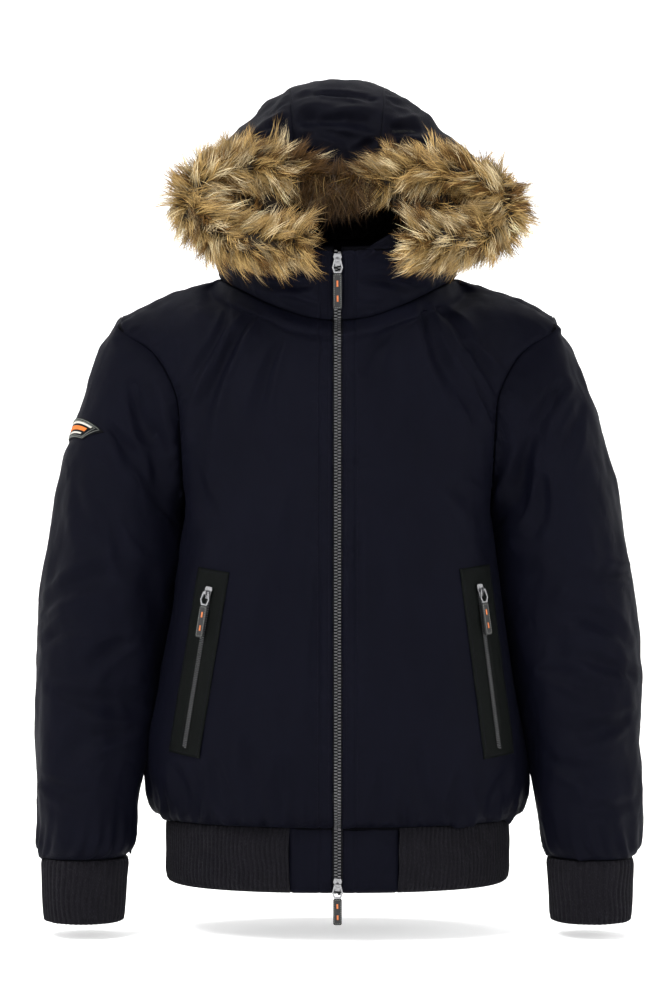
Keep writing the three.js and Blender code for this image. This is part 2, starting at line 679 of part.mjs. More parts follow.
// The fleece that shows inside the hood lies just within its three panels, behind the opening.
for (const piece of twill.filter(({ name }) => name.startsWith('hood_'))) {
  const onRight = piece.name.endsWith('right');
  const shown = piece.name.endsWith('centre')
    ? (grid) => grid.slice(LINING_START)
    : (grid) => grid.map((row) => (onRight ? row.slice(0, -LINING_START) : row.slice(LINING_START)));
  addWall({
    ...piece, name: piece.name.replace('hood_', 'hood_lining_'), finish: 'lining',
    grid: shown(piece.grid), normals: shown(piece.normals),
    wall: LINING_WALL, inset: SHELL_WALL + LIFT,
  });
}

// ---------------------------------------------------------------- ribbed knit

// Angles at which a closed or open curve has points evenly spaced along its length.
function evenSteps(curve, from, to, count) {
  const fine = 4 * count;
  const places = steps(from, to, fine);
  const lengths = [0];
  for (let i = 1; i <= fine; i += 1) {
    lengths.push(lengths[i - 1] + curve(places[i]).distanceTo(curve(places[i - 1])));
  }
  let k = 1;
  return steps(0, lengths[fine], count).map((length) => {
    while (k < fine && lengths[k] < length) k += 1;
    const share = (length - lengths[k - 1]) / (lengths[k] - lengths[k - 1]);
    return places[k - 1] + (places[k] - places[k - 1]) * share;
  });
}

// A knitted band: ribs stand on its outside, the inside is plain and has fewer points.
function addRibbedBand(name, rows, pointAt, from, to, ribs, closed) {
  const columns = evenSteps((place) => pointAt(rows[0], place), from, to, 2 * ribs);
  const grid = rows.map((row) => columns.map((place) => pointAt(row, place)));
  const normals = gridNormals(grid, closed);
  const { outer, inner } = wallGrids({ grid, normals, closed, wall: RIB_WALL });
  const ribbed = outer.map((row, r) => row.map((point, c) => (c % 2 === 1
    ? point.clone().addScaledVector(normals[r][c], RIBS.height) : point)));
  const plain = inner.map((row) => row.filter((_, c) => c % RIBS.coarse === 0));
  addMesh(name, 'rib', wallGeometry(ribbed, plain, closed));
}

// The hem band's line round the body: place 0 is the left side of the zip, 4 the right side.
function bandPoint(row, place) {
  const quarter = Math.min(Math.floor(place), 3);
  const f = place - quarter;
  const s = quarter % 2 === 0 ? f : 1 - f;
  const onFront = quarter === 0 || quarter === 3;
  const section = bodySection(row, onFront ? 'front' : 'back');
  const point = sectionPoint(section, onFront ? ZIP.half : 0, s);
  if (quarter > 1) point.x = -point.x;
  return point;
}

const tabPlace = (width) => Math.asin((width - ZIP.half) / (BAND[1].edgeX - ZIP.half)) / DEG / 90;
const TAB_END = { left: tabPlace(HEM_TAB.left), right: 4 - tabPlace(HEM_TAB.right) };
addRibbedBand('hem_rib', BAND, bandPoint, TAB_END.left, TAB_END.right, RIBS.hem, false);

for (const { name, sign } of SIDES) {
  const columns = sign > 0 ? steps(0, TAB_END.left, 4) : steps(TAB_END.right, 4, 4);
  const grid = BAND.map((row) => columns.map((place) => bandPoint(row, place)));
  const normals = gridNormals(grid, false);
  addWall({
    name: `hem_tab_${name}`, finish: 'twill', grid, normals, closed: false, wall: SHELL_WALL,
  });
}

function cuffPoint(sign) {
  return (row, place) => {
    const angle = Math.PI * place;
    return new THREE.Vector3(
      sign * (row.outerX + row.innerX) / 2 + (row.outerX - row.innerX) / 2 * Math.sin(angle),
      row.midY - row.depth * Math.cos(angle),
      row.z,
    );
  };
}

for (const { name, sign } of SIDES) {
  addRibbedBand(`cuff_${name}`, CUFF, cuffPoint(sign), 0, 2, RIBS.cuff, true);
}

// ---------------------------------------------------------------- fur roll

function furPoint(rows, t) {
  return vectorOf(rowAt(rows, t));
}

function addFur(name, rows, sign) {
  const last = rows.length - 1;
  const points = [];
  for (const t of steps(0, last, FUR_RINGS)) {
    const centre = furPoint(rows, t);
    const atBrim = t > last - 0.01;
    const ahead = furPoint(rows, Math.min(t + 0.05, last)).sub(furPoint(rows, Math.max(t - 0.05, 0)));
    const along = atBrim ? new THREE.Vector3(-1, 0, 0) : ahead.normalize();
    const side = new THREE.Vector3(0, 1, 0).cross(along).normalize();
    const depth = along.clone().cross(side);
    const { reach } = rowAt(rows, t);
    for (let k = 0; k < FUR_SIDES; k += 1) {
      const angle = 2 * Math.PI * k / FUR_SIDES;
      const point = centre.clone().addScaledVector(side, reach * Math.cos(angle));
      point.addScaledVector(depth, reach * Math.sin(angle));
      points.push(point.setX(sign * point.x));
    }
  }
  const rings = FUR_RINGS + 1;
  const triangles = [];
  for (let r = 0; r + 1 < rings; r += 1) {
    for (let k = 0; k < FUR_SIDES; k += 1) {
      const a = r * FUR_SIDES + k;
      const b = r * FUR_SIDES + (k + 1) % FUR_SIDES;
      triangles.push(a, b, b + FUR_SIDES, a, b + FUR_SIDES, a + FUR_SIDES);
    }
  }
  for (let k = 1; k + 1 < FUR_SIDES; k += 1) {
    const end = (rings - 1) * FUR_SIDES;
    triangles.push(0, k + 1, k, end, end + k, end + k + 1);
  }
  addMesh(name, 'fur', solidFrom(points, triangles));
}

for (const { name, sign } of SIDES) addFur(`fur_${name}`, FUR[name], sign);

// ---------------------------------------------------------------- front zip

// The line of the zip, from the hem up to the top of the collar.
function zipLine() {
  const band = BAND.map((row) => bandPoint(row, 0));
  const body = panelRows(FRONT).slice(1).map((t) => panelPoint(FRONT, 0, t));
  const collar = [1 / 3, 2 / 3, 1].map((f) => collarPoint(0, f));
  return [...band, ...body, ...collar];
}

function zipFrontAt(z) {
  const line = zipLine();
  const above = line.findIndex((point) => point.z >= z);
  const low = line[Math.max(above - 1, 0)];
  return THREE.MathUtils.mapLinear(z, low.z, line[above].z, low.y, line[above].y);
}

for (const { name, sign } of SIDES) {
  const edges = sign > 0 ? [ZIP.split, ZIP.teeth] : [-ZIP.teeth, -ZIP.split];
  const strip = (back) => zipLine().map((point) => edges
    .map((x) => new THREE.Vector3(x, point.y + back, point.z)));
  addMesh(`zip_teeth_${name}`, 'teeth', wallGeometry(strip(-ZIP.proud), strip(ZIP.depth), false));
}

// ---------------------------------------------------------------- pockets

// Where the front's surface is at width x and height z, below the armpit.
function frontSurface(x, z) {
  let low = 0;
  let high = ARMPIT;
  for (let i = 0; i < 30; i += 1) {
    const middle = (low + high) / 2;
    if (panelPoint(FRONT, 0, middle).z < z) low = middle;
    else high = middle;
  }
  const edge = panelPoint(FRONT, 1, low).x;
  const s = Math.asin((x - ZIP.half) / (edge - ZIP.half)) / (Math.PI / 2);
  return panelPoint(FRONT, s, low);
}

function frontNormal(x, z) {
  const across = frontSurface(x + 1, z).sub(frontSurface(x - 1, z));
  const along = frontSurface(x, z + 1).sub(frontSurface(x, z - 1));
  return across.cross(along).normalize();
}

// A point over a left-hand pocket: along 0 to 1 down its welt, across in mm, lifted outwards.
function pocketPoint(pocket, along, across, lift) {
  const length = Math.hypot(pocket.bottomX - pocket.topX, pocket.bottomZ - pocket.topZ);
  const downX = (pocket.bottomX - pocket.topX) / length;
  const downZ = (pocket.bottomZ - pocket.topZ) / length;
  const x = pocket.topX + downX * length * along - downZ * across;
  const z = pocket.topZ + downZ * length * along + downX * across;
  return frontSurface(x, z).addScaledVector(frontNormal(x, z), lift);
}

function addPocketStrip(name, finish, pocket, sign, strip) {
  const place = (lift) => gridOf(
    steps(strip.to, strip.from, strip.along),
    steps(-strip.half, strip.half, strip.across),
    (across, along) => pocketPoint(pocket, along, across, lift),
  );
  const hand = (grid) => (sign > 0 ? grid : mirrored(grid));
  const outer = hand(place(strip.lift + strip.wall));
  addMesh(name, finish, wallGeometry(outer, hand(place(strip.lift)), false));
}

const weltStrip = { ...WELT, from: 0, to: 1 };
const pocketZipLift = WELT.lift + WELT.wall + LIFT;
const pocketZipStrip = { ...POCKET_ZIP, across: 1, along: 12, lift: pocketZipLift };
for (const { name, sign } of SIDES) {
  addPocketStrip(`pocket_welt_${name}`, 'welt', POCKETS[name], sign, weltStrip);
  addPocketStrip(`pocket_zip_${name}`, 'teeth', POCKETS[name], sign, pocketZipStrip);
}

// ---------------------------------------------------------------- sleeve patch

function sleeveNormal(index, t) {
  const across = sleevePoint(index + 0.1, t).sub(sleevePoint(index - 0.1, t));
  const along = sleevePoint(index, t + 0.1).sub(sleevePoint(index, t - 0.1));
  return across.cross(along).normalize();
}

function addArmPatch() {
  const rows = steps(ARM_PATCH.fromRow, ARM_PATCH.toRow, 3);
  const columns = steps(ARM_PATCH.fromRing, ARM_PATCH.toRing, 10);
  const place = (lift) => mirrored(gridOf(rows, columns, (index, row) => {
    const t = row + ARM_PATCH.skew * (COUNT.armhole - index);
    return sleevePoint(index, t).addScaledVector(sleeveNormal(index, t), lift);
  }));
  addMesh('sleeve_patch', 'badge', wallGeometry(place(LIFT + PATCH_WALL), place(LIFT), false));
}
addArmPatch();

// ---------------------------------------------------------------- sliders and pulls

function extruded(shape, depth) {
  const geometry = new THREE.ExtrudeGeometry(shape, { depth, bevelEnabled: false, curveSegments: 8 });
  return geometry.translate(0, 0, -depth / 2);
}

// Outlines are drawn with x across and y up the zip; standing turns them upright, so that
// their thickness lies along the depth axis.
const standing = (geometry) => geometry.rotateX(Math.PI / 2);

// The slider: a shield-shaped plate with a round lug, in which the pull's bail turns.
function sliderPlate() {
  const { half, length } = SLIDER;
  const shape = new THREE.Shape();
  shape.moveTo(-half * 0.55, -length / 2);
  shape.lineTo(half * 0.55, -length / 2);
  shape.lineTo(half * 0.75, 0);
  shape.lineTo(half, length * 0.25);
  shape.lineTo(half * 0.8, length / 2);
  shape.lineTo(-half * 0.8, length / 2);
  shape.lineTo(-half, length * 0.25);
  shape.lineTo(-half * 0.75, 0);
  shape.closePath();
  return standing(extruded(shape, SLIDER.plate)).translate(0, -SLIDER.plate / 2, 0);
}

// The lug stands on the plate; its outline is drawn with x outwards and y up.
function sliderLug() {
  const shape = new THREE.Shape();
  const { lugOuter, hole } = SLIDER;
  shape.moveTo(LIFT, -lugOuter);
  shape.lineTo(PIVOT, -lugOuter);
  shape.absarc(PIVOT, 0, lugOuter, -Math.PI / 2, Math.PI / 2, false);
  shape.lineTo(LIFT, lugOuter);
  shape.closePath();
  const ring = new THREE.Path();
  ring.absarc(PIVOT, 0, hole, 0, 2 * Math.PI, true);
  shape.holes.push(ring);
  const upright = new THREE.Matrix4().makeBasis(
    new THREE.Vector3(0, -1, 0), new THREE.Vector3(0, 0, 1), new THREE.Vector3(-1, 0, 0),
  );
  const geometry = extruded(shape, 2 * SLIDER.lugHalf).applyMatrix4(upright);
  return geometry.translate(0, -SLIDER.plate, 0);
}

// The bail is a six-cornered ring whose top bar lies on the turning axis.
function bailOutline() {
  const { bar, neck, belly, drop } = BAIL;
  const hexagon = (grow) => [
    [-neck - grow, grow - bar / 2], [neck + grow, grow - bar / 2],
    [belly + grow, -drop * 0.62], [belly * 0.55 + grow, -drop - grow + bar / 2],
    [-belly * 0.55 - grow, -drop - grow + bar / 2], [-belly - grow, -drop * 0.62],
  ];
  const shape = new THREE.Shape(hexagon(bar).map(([x, y]) => new THREE.Vector2(x, y)));
  const inside = new THREE.Path(hexagon(0).reverse().map(([x, y]) => new THREE.Vector2(x, y)));
  shape.holes.push(inside);
  return shape;
}

function tagOutline(length) {
  const { half, corner } = TAG;
  const top = -BAIL.drop - BAIL.bar / 2 - LIFT;
  const shape = new THREE.Shape();
  shape.moveTo(-half + corner, top - length);
  shape.lineTo(half - corner, top - length);
  shape.lineTo(half, top - length + corner);
  shape.lineTo(half, top - corner);
  shape.lineTo(half - corner, top);
  shape.lineTo(-half + corner, top);
  shape.lineTo(-half, top - corner);
  shape.lineTo(-half, top - length + corner);
  shape.closePath();
  return shape;
}

// Hardware is drawn with x across the zip, -y outwards and z up the zip.
function hardwareFrame(place, up, out) {
  const across = up.clone().cross(out).normalize();
  const back = up.clone().cross(across);
  return new THREE.Matrix4().makeBasis(across, back, up).setPosition(place);
}

function addSliderWithPull(name, frame, tagLength) {
  const pivot = -SLIDER.plate - PIVOT;
  const bail = standing(extruded(bailOutline(), BAIL.bar)).translate(0, pivot, 0);
  const tag = standing(extruded(tagOutline(tagLength), TAG.thick)).translate(0, pivot, 0);
  addMesh(`${name}_slider`, 'metal', sliderPlate().applyMatrix4(frame));
  addMesh(`${name}_lug`, 'metal', sliderLug().applyMatrix4(frame));
  addMesh(`${name}_bail`, 'metal', bail.applyMatrix4(frame));
  addMesh(`${name}_tag`, 'tag', tag.applyMatrix4(frame));
}

function frontFrame(z, hangsFree) {
  const reach = SLIDER.length / 2;
  const point = (height) => new THREE.Vector3(0, zipFrontAt(height), height);
  const slope = point(z + reach).sub(point(z - reach)).normalize();
  const up = hangsFree ? new THREE.Vector3(0, 0, 1) : slope;
  const out = new THREE.Vector3(0, -1, 0);
  const place = point(z + reach).lerp(point(z - reach), 0.5);
  const bow = steps(z - reach, z + reach, 6).map((height) => point(height).sub(place).dot(out)
    - up.dot(point(height).sub(place)) * up.dot(out));
  return hardwareFrame(place.addScaledVector(out, Math.max(...bow) + ZIP.proud + LIFT), up, out);
}

addSliderWithPull('top', frontFrame(ZIP.top - SLIDER.length / 2, false), TAG.length);
addSliderWithPull('hem', frontFrame(ZIP.bottom + SLIDER.length / 2, true), HEM_TAG_LENGTH);

for (const { name, sign } of SIDES) {
  const pocket = POCKETS[name];
  const lift = pocketZipLift + POCKET_ZIP.wall + LIFT;
  const pointAt = (along) => pocketPoint(pocket, along, 0, lift);
  const place = pointAt(pocket.sliderAlong);
  const up = pointAt(pocket.sliderAlong - 0.03).sub(pointAt(pocket.sliderAlong + 0.03)).normalize();
  const out = frontNormal(place.x, place.z);
  for (const vector of [place, up, out]) vector.x *= sign;
  addSliderWithPull(`pocket_${name}`, hardwareFrame(place, up, out), POCKET_TAG_LENGTH);
}

export default jacket;
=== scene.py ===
import math

import bmesh
import bpy
import numpy as np
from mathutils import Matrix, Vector


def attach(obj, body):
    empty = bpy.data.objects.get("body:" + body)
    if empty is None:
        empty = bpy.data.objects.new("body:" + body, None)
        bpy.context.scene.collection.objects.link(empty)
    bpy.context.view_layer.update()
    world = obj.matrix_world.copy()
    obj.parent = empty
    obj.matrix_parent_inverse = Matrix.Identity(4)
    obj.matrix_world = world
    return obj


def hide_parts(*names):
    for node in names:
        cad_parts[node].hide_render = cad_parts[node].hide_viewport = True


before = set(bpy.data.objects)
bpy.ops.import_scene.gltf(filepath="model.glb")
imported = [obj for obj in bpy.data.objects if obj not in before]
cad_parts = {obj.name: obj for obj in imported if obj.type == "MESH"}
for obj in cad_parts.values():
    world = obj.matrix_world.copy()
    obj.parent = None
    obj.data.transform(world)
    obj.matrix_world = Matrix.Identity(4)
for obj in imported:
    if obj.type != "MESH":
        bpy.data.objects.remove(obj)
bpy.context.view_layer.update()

# Looks of a hooded bomber jacket in its worn shape. Tables are in millimetres in the row frame:
# +Z up, the front faces -Y, +X is the wearer's left. Meshes are made in metres.

MM = 0.001
SIDES = (("left", 1), ("right", -1))


# ---------------------------------------------------------------- sizes

# Body sections from the hem seam up: side seam x, z, depth of front and back, boxiness.
BODY = np.array([
    [187, -568, -116, 110, 2.2],
    [201, -556, -128, 121, 2.3],
    [210, -528, -136, 128, 2.5],
    [205, -478, -137, 130, 2.8],
    [191, -400, -134, 129, 3.0],
    [179, -320, -131, 129, 3.0],
    [168, -240, -128, 130, 2.8],
], float)
# Yoke sections: edge x, y, z, middle y, z, crest y, z, turn in degrees.
YOKE = {
    "front": np.array([
        [169, -36, -198, -124, -190, 0, 0, 80],
        [171, -55, -147, -119, -142, 2, 2, 72],
        [176, -57, -104, -113, -98, 8, 9, 68],
        [200, -46, -61, -106, -58, 17, 28, 64],
    ], float),
    "back": np.array([
        [173, 44, -198, 131, -190, 0, 0, 80],
        [184, 62, -147, 129, -140, 0, 2, 72],
        [194, 61, -100, 121, -90, -3, 6, 68],
        [216, 43, -53, 106, -38, -10, 21, 64],
    ], float),
}
# Boxiness of the yoke's sections, and the section at which the armhole starts.
YOKE_SQUARE = 2.4
ARMPIT = 6
# Neck out, neck rise, shoulder out, shoulder rise, facing, of the ridge below the top edge.
RIDGE = {"front": (11, -14, 24, -13, -1), "back": (14, -12, 30, 3, 1)}
SHOULDER_POINT = np.array([238, -14, -22], float)
SHOULDER_RISE = 5
NECK_SHOULDER = 4
NECK_COLUMNS = {"front": 5, "back": 4}
SHOULDER_COLUMNS = 6
# Neckline x, y, z and the collar's top x, y, z, from centre front round to centre back.
NECK = np.array([
    [4.4, -100, -28, 4.4, -112, 46],
    [35, -98, -24, 36, -111, 47],
    [72, -85, -10, 80, -100, 50],
    [106, -54, 8, 119, -68, 58],
    [128, -10, 22, 141, -12, 66],
    [126, 26, 26, 137, 34, 71],
    [104, 55, 26, 113, 67, 74],
    [62, 73, 23, 66, 88, 75],
    [0, 78, 20, 0, 96, 75],
], float)
# Edge of the hood's opening from the collar outwards and back over the brim.
FACE_EDGE = np.array([
    [60, -104, 66],
    [108, -88, 79],
    [144, -75, 100],
    [128, -66, 119],
    [92, -61, 138],
    [42, -58, 131],
], float)
FACE_SPREAD = {"left": 1.1, "right": 0.98}
# Seam of the hood's centre panel from the brim over the crown down to the collar.
CROWN_SEAM = np.array([
    [42, -58, 131],
    [46, -57, 162],
    [50, -49, 202],
    [52, -14, 231],
    [53, 42, 232],
    [54, 92, 198],
    [54, 118, 150],
    [54, 114, 106],
], float)
CROWN_CORNER = 4.4
CROWN_ARCH = 9
HOOD_BULGE = (5, 3)
HOOD_BACK = 7
HOOD_FRONT = 0.8
# Sleeve rings from the cuff up: outer x, z, inner x, z, middle y, half depth.
SLEEVE = np.array([
    [321, -607, 228, -605, -38, 47],
    [329, -590, 221, -588, -37, 56],
    [330.5, -545, 215, -540, -33, 60],
    [331.5, -480, 208.5, -493, -26, 64],
    [331.5, -415, 201.5, -447, -19, 67],
    [327.5, -342, 193, -400, -12, 70],
    [319, -280, 186, -352, -6, 72],
    [309, -222, 180.5, -312, -2, 73],
    [296.5, -162, 176.5, -282, 1, 72],
    [280.5, -107, 174.5, -263, 3, 67],
    [262, -54, 173, -252, 3, 61],
], float)
# Places on each half of the armhole and of a sleeve's rings.
ARMHOLE = 9
# Cuff rings from the edge up: outer x, inner x, z, middle y, half depth.
CUFF = np.array([
    [315, 234, -676, -42, 41],
    [318, 232, -667, -42, 44],
    [321, 228, -607, -38, 47],
], float)
# Hem band: side x, z, front, back, boxiness.
BAND = np.array([
    [181, -638, -112, 106, 2.2],
    [187, -624, -117, 111, 2.2],
    [187, -568, -116, 110, 2.2],
], float)
HEM_TAB = {"left": 66, "right": 52}
# How many ribs each knitted band has.
HEM_RIBS = 168
CUFF_RIBS = 44
ZIP_HALF = 4.4
# The fur's roll, from the collar round the end to the brim: x, y, z, reach of the tips.
FUR = {
    "right": np.array([
        [37, -142, 53, 30],
        [80, -138, 50, 35],
        [124, -127, 61, 36],
        [154, -119, 90, 36],
        [135, -106, 122, 36],
        [97, -99, 138, 36],
        [51, -96, 131, 33],
        [0.15, -92, 113, 25],
    ], float),
    "left": np.array([
        [78, -138, 55, 31],
        [116, -133, 51, 35],
        [158, -122, 61, 35],
        [178, -118, 92, 34],
        [146, -106, 122, 35],
        [93, -98, 132, 35],
        [42, -94, 120, 31],
        [0.15, -92, 113, 25],
    ], float),
}
# Slanted pockets: top x, z, bottom x, z.
POCKETS = {"left": (146, -291, 172, -493), "right": (131, -294, 163, -491)}
WELT_HALF = 17
# Walls of the dressed cloth and knit.
SHELL = 3.0
RIB_WALL = 2.2
# Distances from a seam at which its rolled edge is drawn.
EDGE_ROWS = np.array([0, 0.9, 1.8, 3, 4.5])
# Share of a panel's rows above which its lines are evened.
YOKE_SHARE = 0.83


# ---------------------------------------------------------------- curves and surfaces

def smoothstep(x, low, high):
    t = np.clip((np.asarray(x, float) - low) / (high - low), 0, 1)
    return t * t * (3 - 2 * t)


def hermite(a, b, leave, arrive, f):
    f2, f3 = f * f, f * f * f
    return (a * (2 * f3 - 3 * f2 + 1) + leave * (f3 - 2 * f2 + f)
            + b * (3 * f2 - 2 * f3) + arrive * (f3 - f2))


def between(rows, slope, t):
    """The smooth curve through rows, with those slopes, at places t counted in rows."""
    k = np.clip(np.floor(t).astype(int), 0, len(rows) - 2)
    f = (t - k).reshape(np.shape(t) + (1,) * (rows.ndim - 1))
    return hermite(rows[k], rows[k + 1], slope[k], slope[k + 1], f)


def row_at(rows, t):
    return between(rows, np.gradient(rows, axis=0), np.asarray(t, float))


def lerp(a, b, f):
    return a + (b - a) * f


def unit(v):
    return v / np.maximum(np.linalg.norm(v, axis=-1, keepdims=True), 1e-9)


def run_along(line):
    """Distances along a line of points, from its first one."""
    return np.concatenate([[0], np.cumsum(np.linalg.norm(np.diff(line, axis=0), axis=1))])


def at_places(places, run, line):
    """Points of a line at places, where run says how far along each of its own points lies."""
    return np.stack([np.interp(places, run, line[:, i]) for i in range(3)], -1)


def section(edge, middle, crest, turn, square, start_x, s):
    """Points of one section of the body from its centre line (s 0) to its edge (s 1)."""
    turn = math.radians(turn)
    across = np.sin(turn * s) / math.sin(turn)

    def fall(angle):
        return 1 - np.maximum(0, 1 - np.sin(angle) ** square) ** (1 / square)

    round_ = fall(turn * s) / fall(turn)
    rise = np.maximum(np.sin(math.pi * s), 0) ** 1.5
    return np.stack([
        start_x + (edge[0] - start_x) * across,
        middle[0] + (edge[1] - middle[0]) * round_ + crest[0] * rise,
        middle[1] + (edge[2] - middle[1]) * s * s + crest[1] * rise,
    ], -1)


def neck_point(row):
    return row_at(NECK[:, :3], row)


def collar_top(row):
    return row_at(NECK[:, 3:], row)


def top_edge(s, side):
    """A panel's top edge: the neckline, then the shoulder seam."""
    share = NECK_COLUMNS[side] / (NECK_COLUMNS[side] + SHOULDER_COLUMNS)
    centre = 0 if side == "front" else len(NECK) - 1
    on_neck = neck_point(centre + (NECK_SHOULDER - centre) * np.minimum(s / share, 1))
    f = np.clip((s - share) / (1 - share), 0, 1)[..., None]
    seam = lerp(neck_point(np.array(float(NECK_SHOULDER))), SHOULDER_POINT, f)
    seam[..., 2] += SHOULDER_RISE * np.sin(math.pi * f[..., 0])
    return np.where((s < share)[..., None], on_neck, seam)


def ridge(s, side):
    neck_out, neck_rise, shoulder_out, shoulder_rise, facing = RIDGE[side]
    share = NECK_COLUMNS[side] / (NECK_COLUMNS[side] + SHOULDER_COLUMNS)
    point = top_edge(s, side)
    w = smoothstep(s, 0.6 * share, 1.6 * share)[..., None]
    out = unit(point * [1, 1, 0])
    out = unit(lerp(out, np.array([0, facing, 0.0]), w))
    point = point + out * lerp(neck_out, shoulder_out, w)
    point[..., 2] += lerp(neck_rise, shoulder_rise, w[..., 0])
    return point


def panel_points(side, s, t):
    """Grid of a front or half a back: rows at section numbers t, columns at places s."""
    start = ZIP_HALF if side == "front" else 0
    depth = 2 if side == "front" else 3
    curves = [
        section((x, 0, z), (row[depth], z), (0, 0), 90, square, start, s)
        for row in BODY for x, z, square in [(row[0], row[1], row[4])]
    ]
    for row in YOKE[side]:
        curves.append(section(row[:3], row[3:5], row[5:7], row[7], YOKE_SQUARE, start, s))
    curves = np.array(curves + [ridge(s, side), top_edge(s, side)])
    slope = np.gradient(curves, axis=0)
    below = curves[ARMPIT] - curves[ARMPIT - 1]
    slope[ARMPIT] = lerp(slope[ARMPIT], below, smoothstep(s, 0.75, 1)[:, None])
    return between(curves, slope, t)


PANEL_TOP = len(BODY) + len(YOKE["front"]) + 1


def armhole_points(index):
    """The armhole's loop at places index, 0 at the armpit and 9 at the shoulder point."""
    index = np.asarray(index, float)
    on_front = index <= ARMHOLE
    step = np.where(on_front, index, 2 * ARMHOLE - index)
    t = ARMPIT + (PANEL_TOP - ARMPIT) * step / ARMHOLE
    edge = np.ones(1)
    front = panel_points("front", edge, t)[:, 0]
    back = panel_points("back", edge, t)[:, 0]
    return np.where(on_front[:, None], front, back)


def sleeve_points(index, t):
    """Grid of a sleeve: rows at ring numbers t, columns round it at places index (0 to 18)."""
    angle = math.pi * (1 - index / ARMHOLE)
    rings = [np.stack([
        (r[0] + r[2]) / 2 + (r[0] - r[2]) / 2 * np.cos(angle),
        r[4] - r[5] * np.sin(angle),
        (r[1] + r[3]) / 2 + (r[1] - r[3]) / 2 * np.cos(angle),
    ], -1) for r in SLEEVE]
    rings = np.array(rings + [armhole_points(index)])
    return between(rings, np.gradient(rings, axis=0), t)


def collar_points(rows, f):
    return lerp(neck_point(rows)[None], collar_top(rows)[None], f[:, None, None])


def face_edge(f, spread):
    rows = np.vstack([collar_top(HOOD_FRONT), FACE_EDGE])
    point = row_at(rows, f * (len(rows) - 1))
    point[..., 0] *= 1 + (spread - 1) * np.sin(math.pi * f)
    return point


def crown_seam(t):
    return row_at(np.vstack([CROWN_SEAM, collar_top(HOOD_BACK)]), t)


def hood_side_points(u, v, spread):
    base_rows = [*np.linspace(HOOD_FRONT, NECK_SHOULDER, 5), NECK_SHOULDER + 1,
                 NECK_SHOULDER + 2, HOOD_BACK]
    base = collar_top(np.interp(u * 7, range(8), base_rows))[None]
    top = crown_seam(CROWN_CORNER * u)[None]
    front = face_edge(v, spread)[:, None]
    back = crown_seam(len(CROWN_SEAM) - (len(CROWN_SEAM) - CROWN_CORNER) * v)[:, None]
    uu, vv = u[None, :, None], v[:, None, None]
    low = lerp(front[:1], back[:1], uu)
    high = lerp(front[-1:], back[-1:], uu)
    point = lerp(front, back, uu) + lerp(base, top, vv) - lerp(low, high, vv)
    bulge = np.sin(math.pi * u)[None] * np.sin(math.pi * v)[:, None]
    point[..., 0] += HOOD_BULGE[0] * bulge
    point[..., 2] += HOOD_BULGE[1] * bulge
    return point


def hood_centre_points(columns, t):
    last = len(CROWN_SEAM)
    seam = crown_seam(t)
    up = unit((crown_seam(np.minimum(t + 0.02, last)) - crown_seam(np.maximum(t - 0.02, 0)))
              * [0, 1, 1])
    foot = smoothstep(last - t, 0, 1.5)
    arch = 1 - columns[None] ** 2
    rise = CROWN_ARCH * arch * foot[:, None]
    bow = (collar_top(8.0)[1] - seam[:, 1])[:, None] * arch * (1 - foot)[:, None]
    return np.stack([
        seam[:, 0, None] * columns[None],
        seam[:, 1, None] - up[:, 2, None] * rise + bow,
        seam[:, 2, None] + up[:, 1, None] * rise,
    ], -1)


def band_points(rows, place):
    """The hem band round the body: place 0 is the left side of the zip, 4 the right side."""
    quarter = np.minimum(np.floor(place), 3)
    f = place - quarter
    s = np.where(quarter % 2 == 0, f, 1 - f)
    front = (quarter == 0) | (quarter == 3)
    out = []
    for row in rows:
        make = [section((row[0], 0, row[1]), (row[d], row[1]), (0, 0), 90, row[4], x, s)
                for d, x in ((2, ZIP_HALF), (3, 0))]
        point = np.where(front[:, None], make[0], make[1])
        point[quarter > 1, 0] *= -1
        out.append(point)
    return np.array(out)


# ---------------------------------------------------------------- surface relief

def normals_of(grid, closed=False):
    if closed:
        across = np.roll(grid, -1, 1) - np.roll(grid, 1, 1)
    else:
        across = np.gradient(grid, axis=1)
    return unit(np.cross(across, np.gradient(grid, axis=0)))


def lengths_of(grid):
    """Distances along the cloth, in mm: across from the first column, up from the first row."""
    du = np.linalg.norm(np.diff(grid, axis=1), axis=-1)
    dv = np.linalg.norm(np.diff(grid, axis=0), axis=-1)
    u = np.concatenate([np.zeros((len(grid), 1)), np.cumsum(du, 1)], 1)
    v = np.concatenate([np.zeros((1, grid.shape[1])), np.cumsum(dv, 0)], 0)
    return u, v


def measured(grid, closed=False):
    """Normals of a cloth, and distances from its first column and row and from its last."""
    u, v = lengths_of(grid)
    return normals_of(grid, closed), u, v, u[:, -1:] - u, v[-1:] - v


def waves(points, wavelength, count, seed):
    """Smooth random relief between about -1 and 1, with that wavelength along each axis."""
    rng = np.random.default_rng(seed)
    direction = unit(rng.normal(size=(count, 3)))
    size = rng.uniform(0.7, 1.4, size=(count, 1))
    k = direction * size * 2 * math.pi / np.asarray(wavelength, float)
    phase = rng.uniform(0, 2 * math.pi, count)
    total = np.zeros(points.shape[:-1])
    for i in range(count):
        total += np.cos(points @ k[i] + phase[i])
    return total * math.sqrt(2 / count) * 0.7


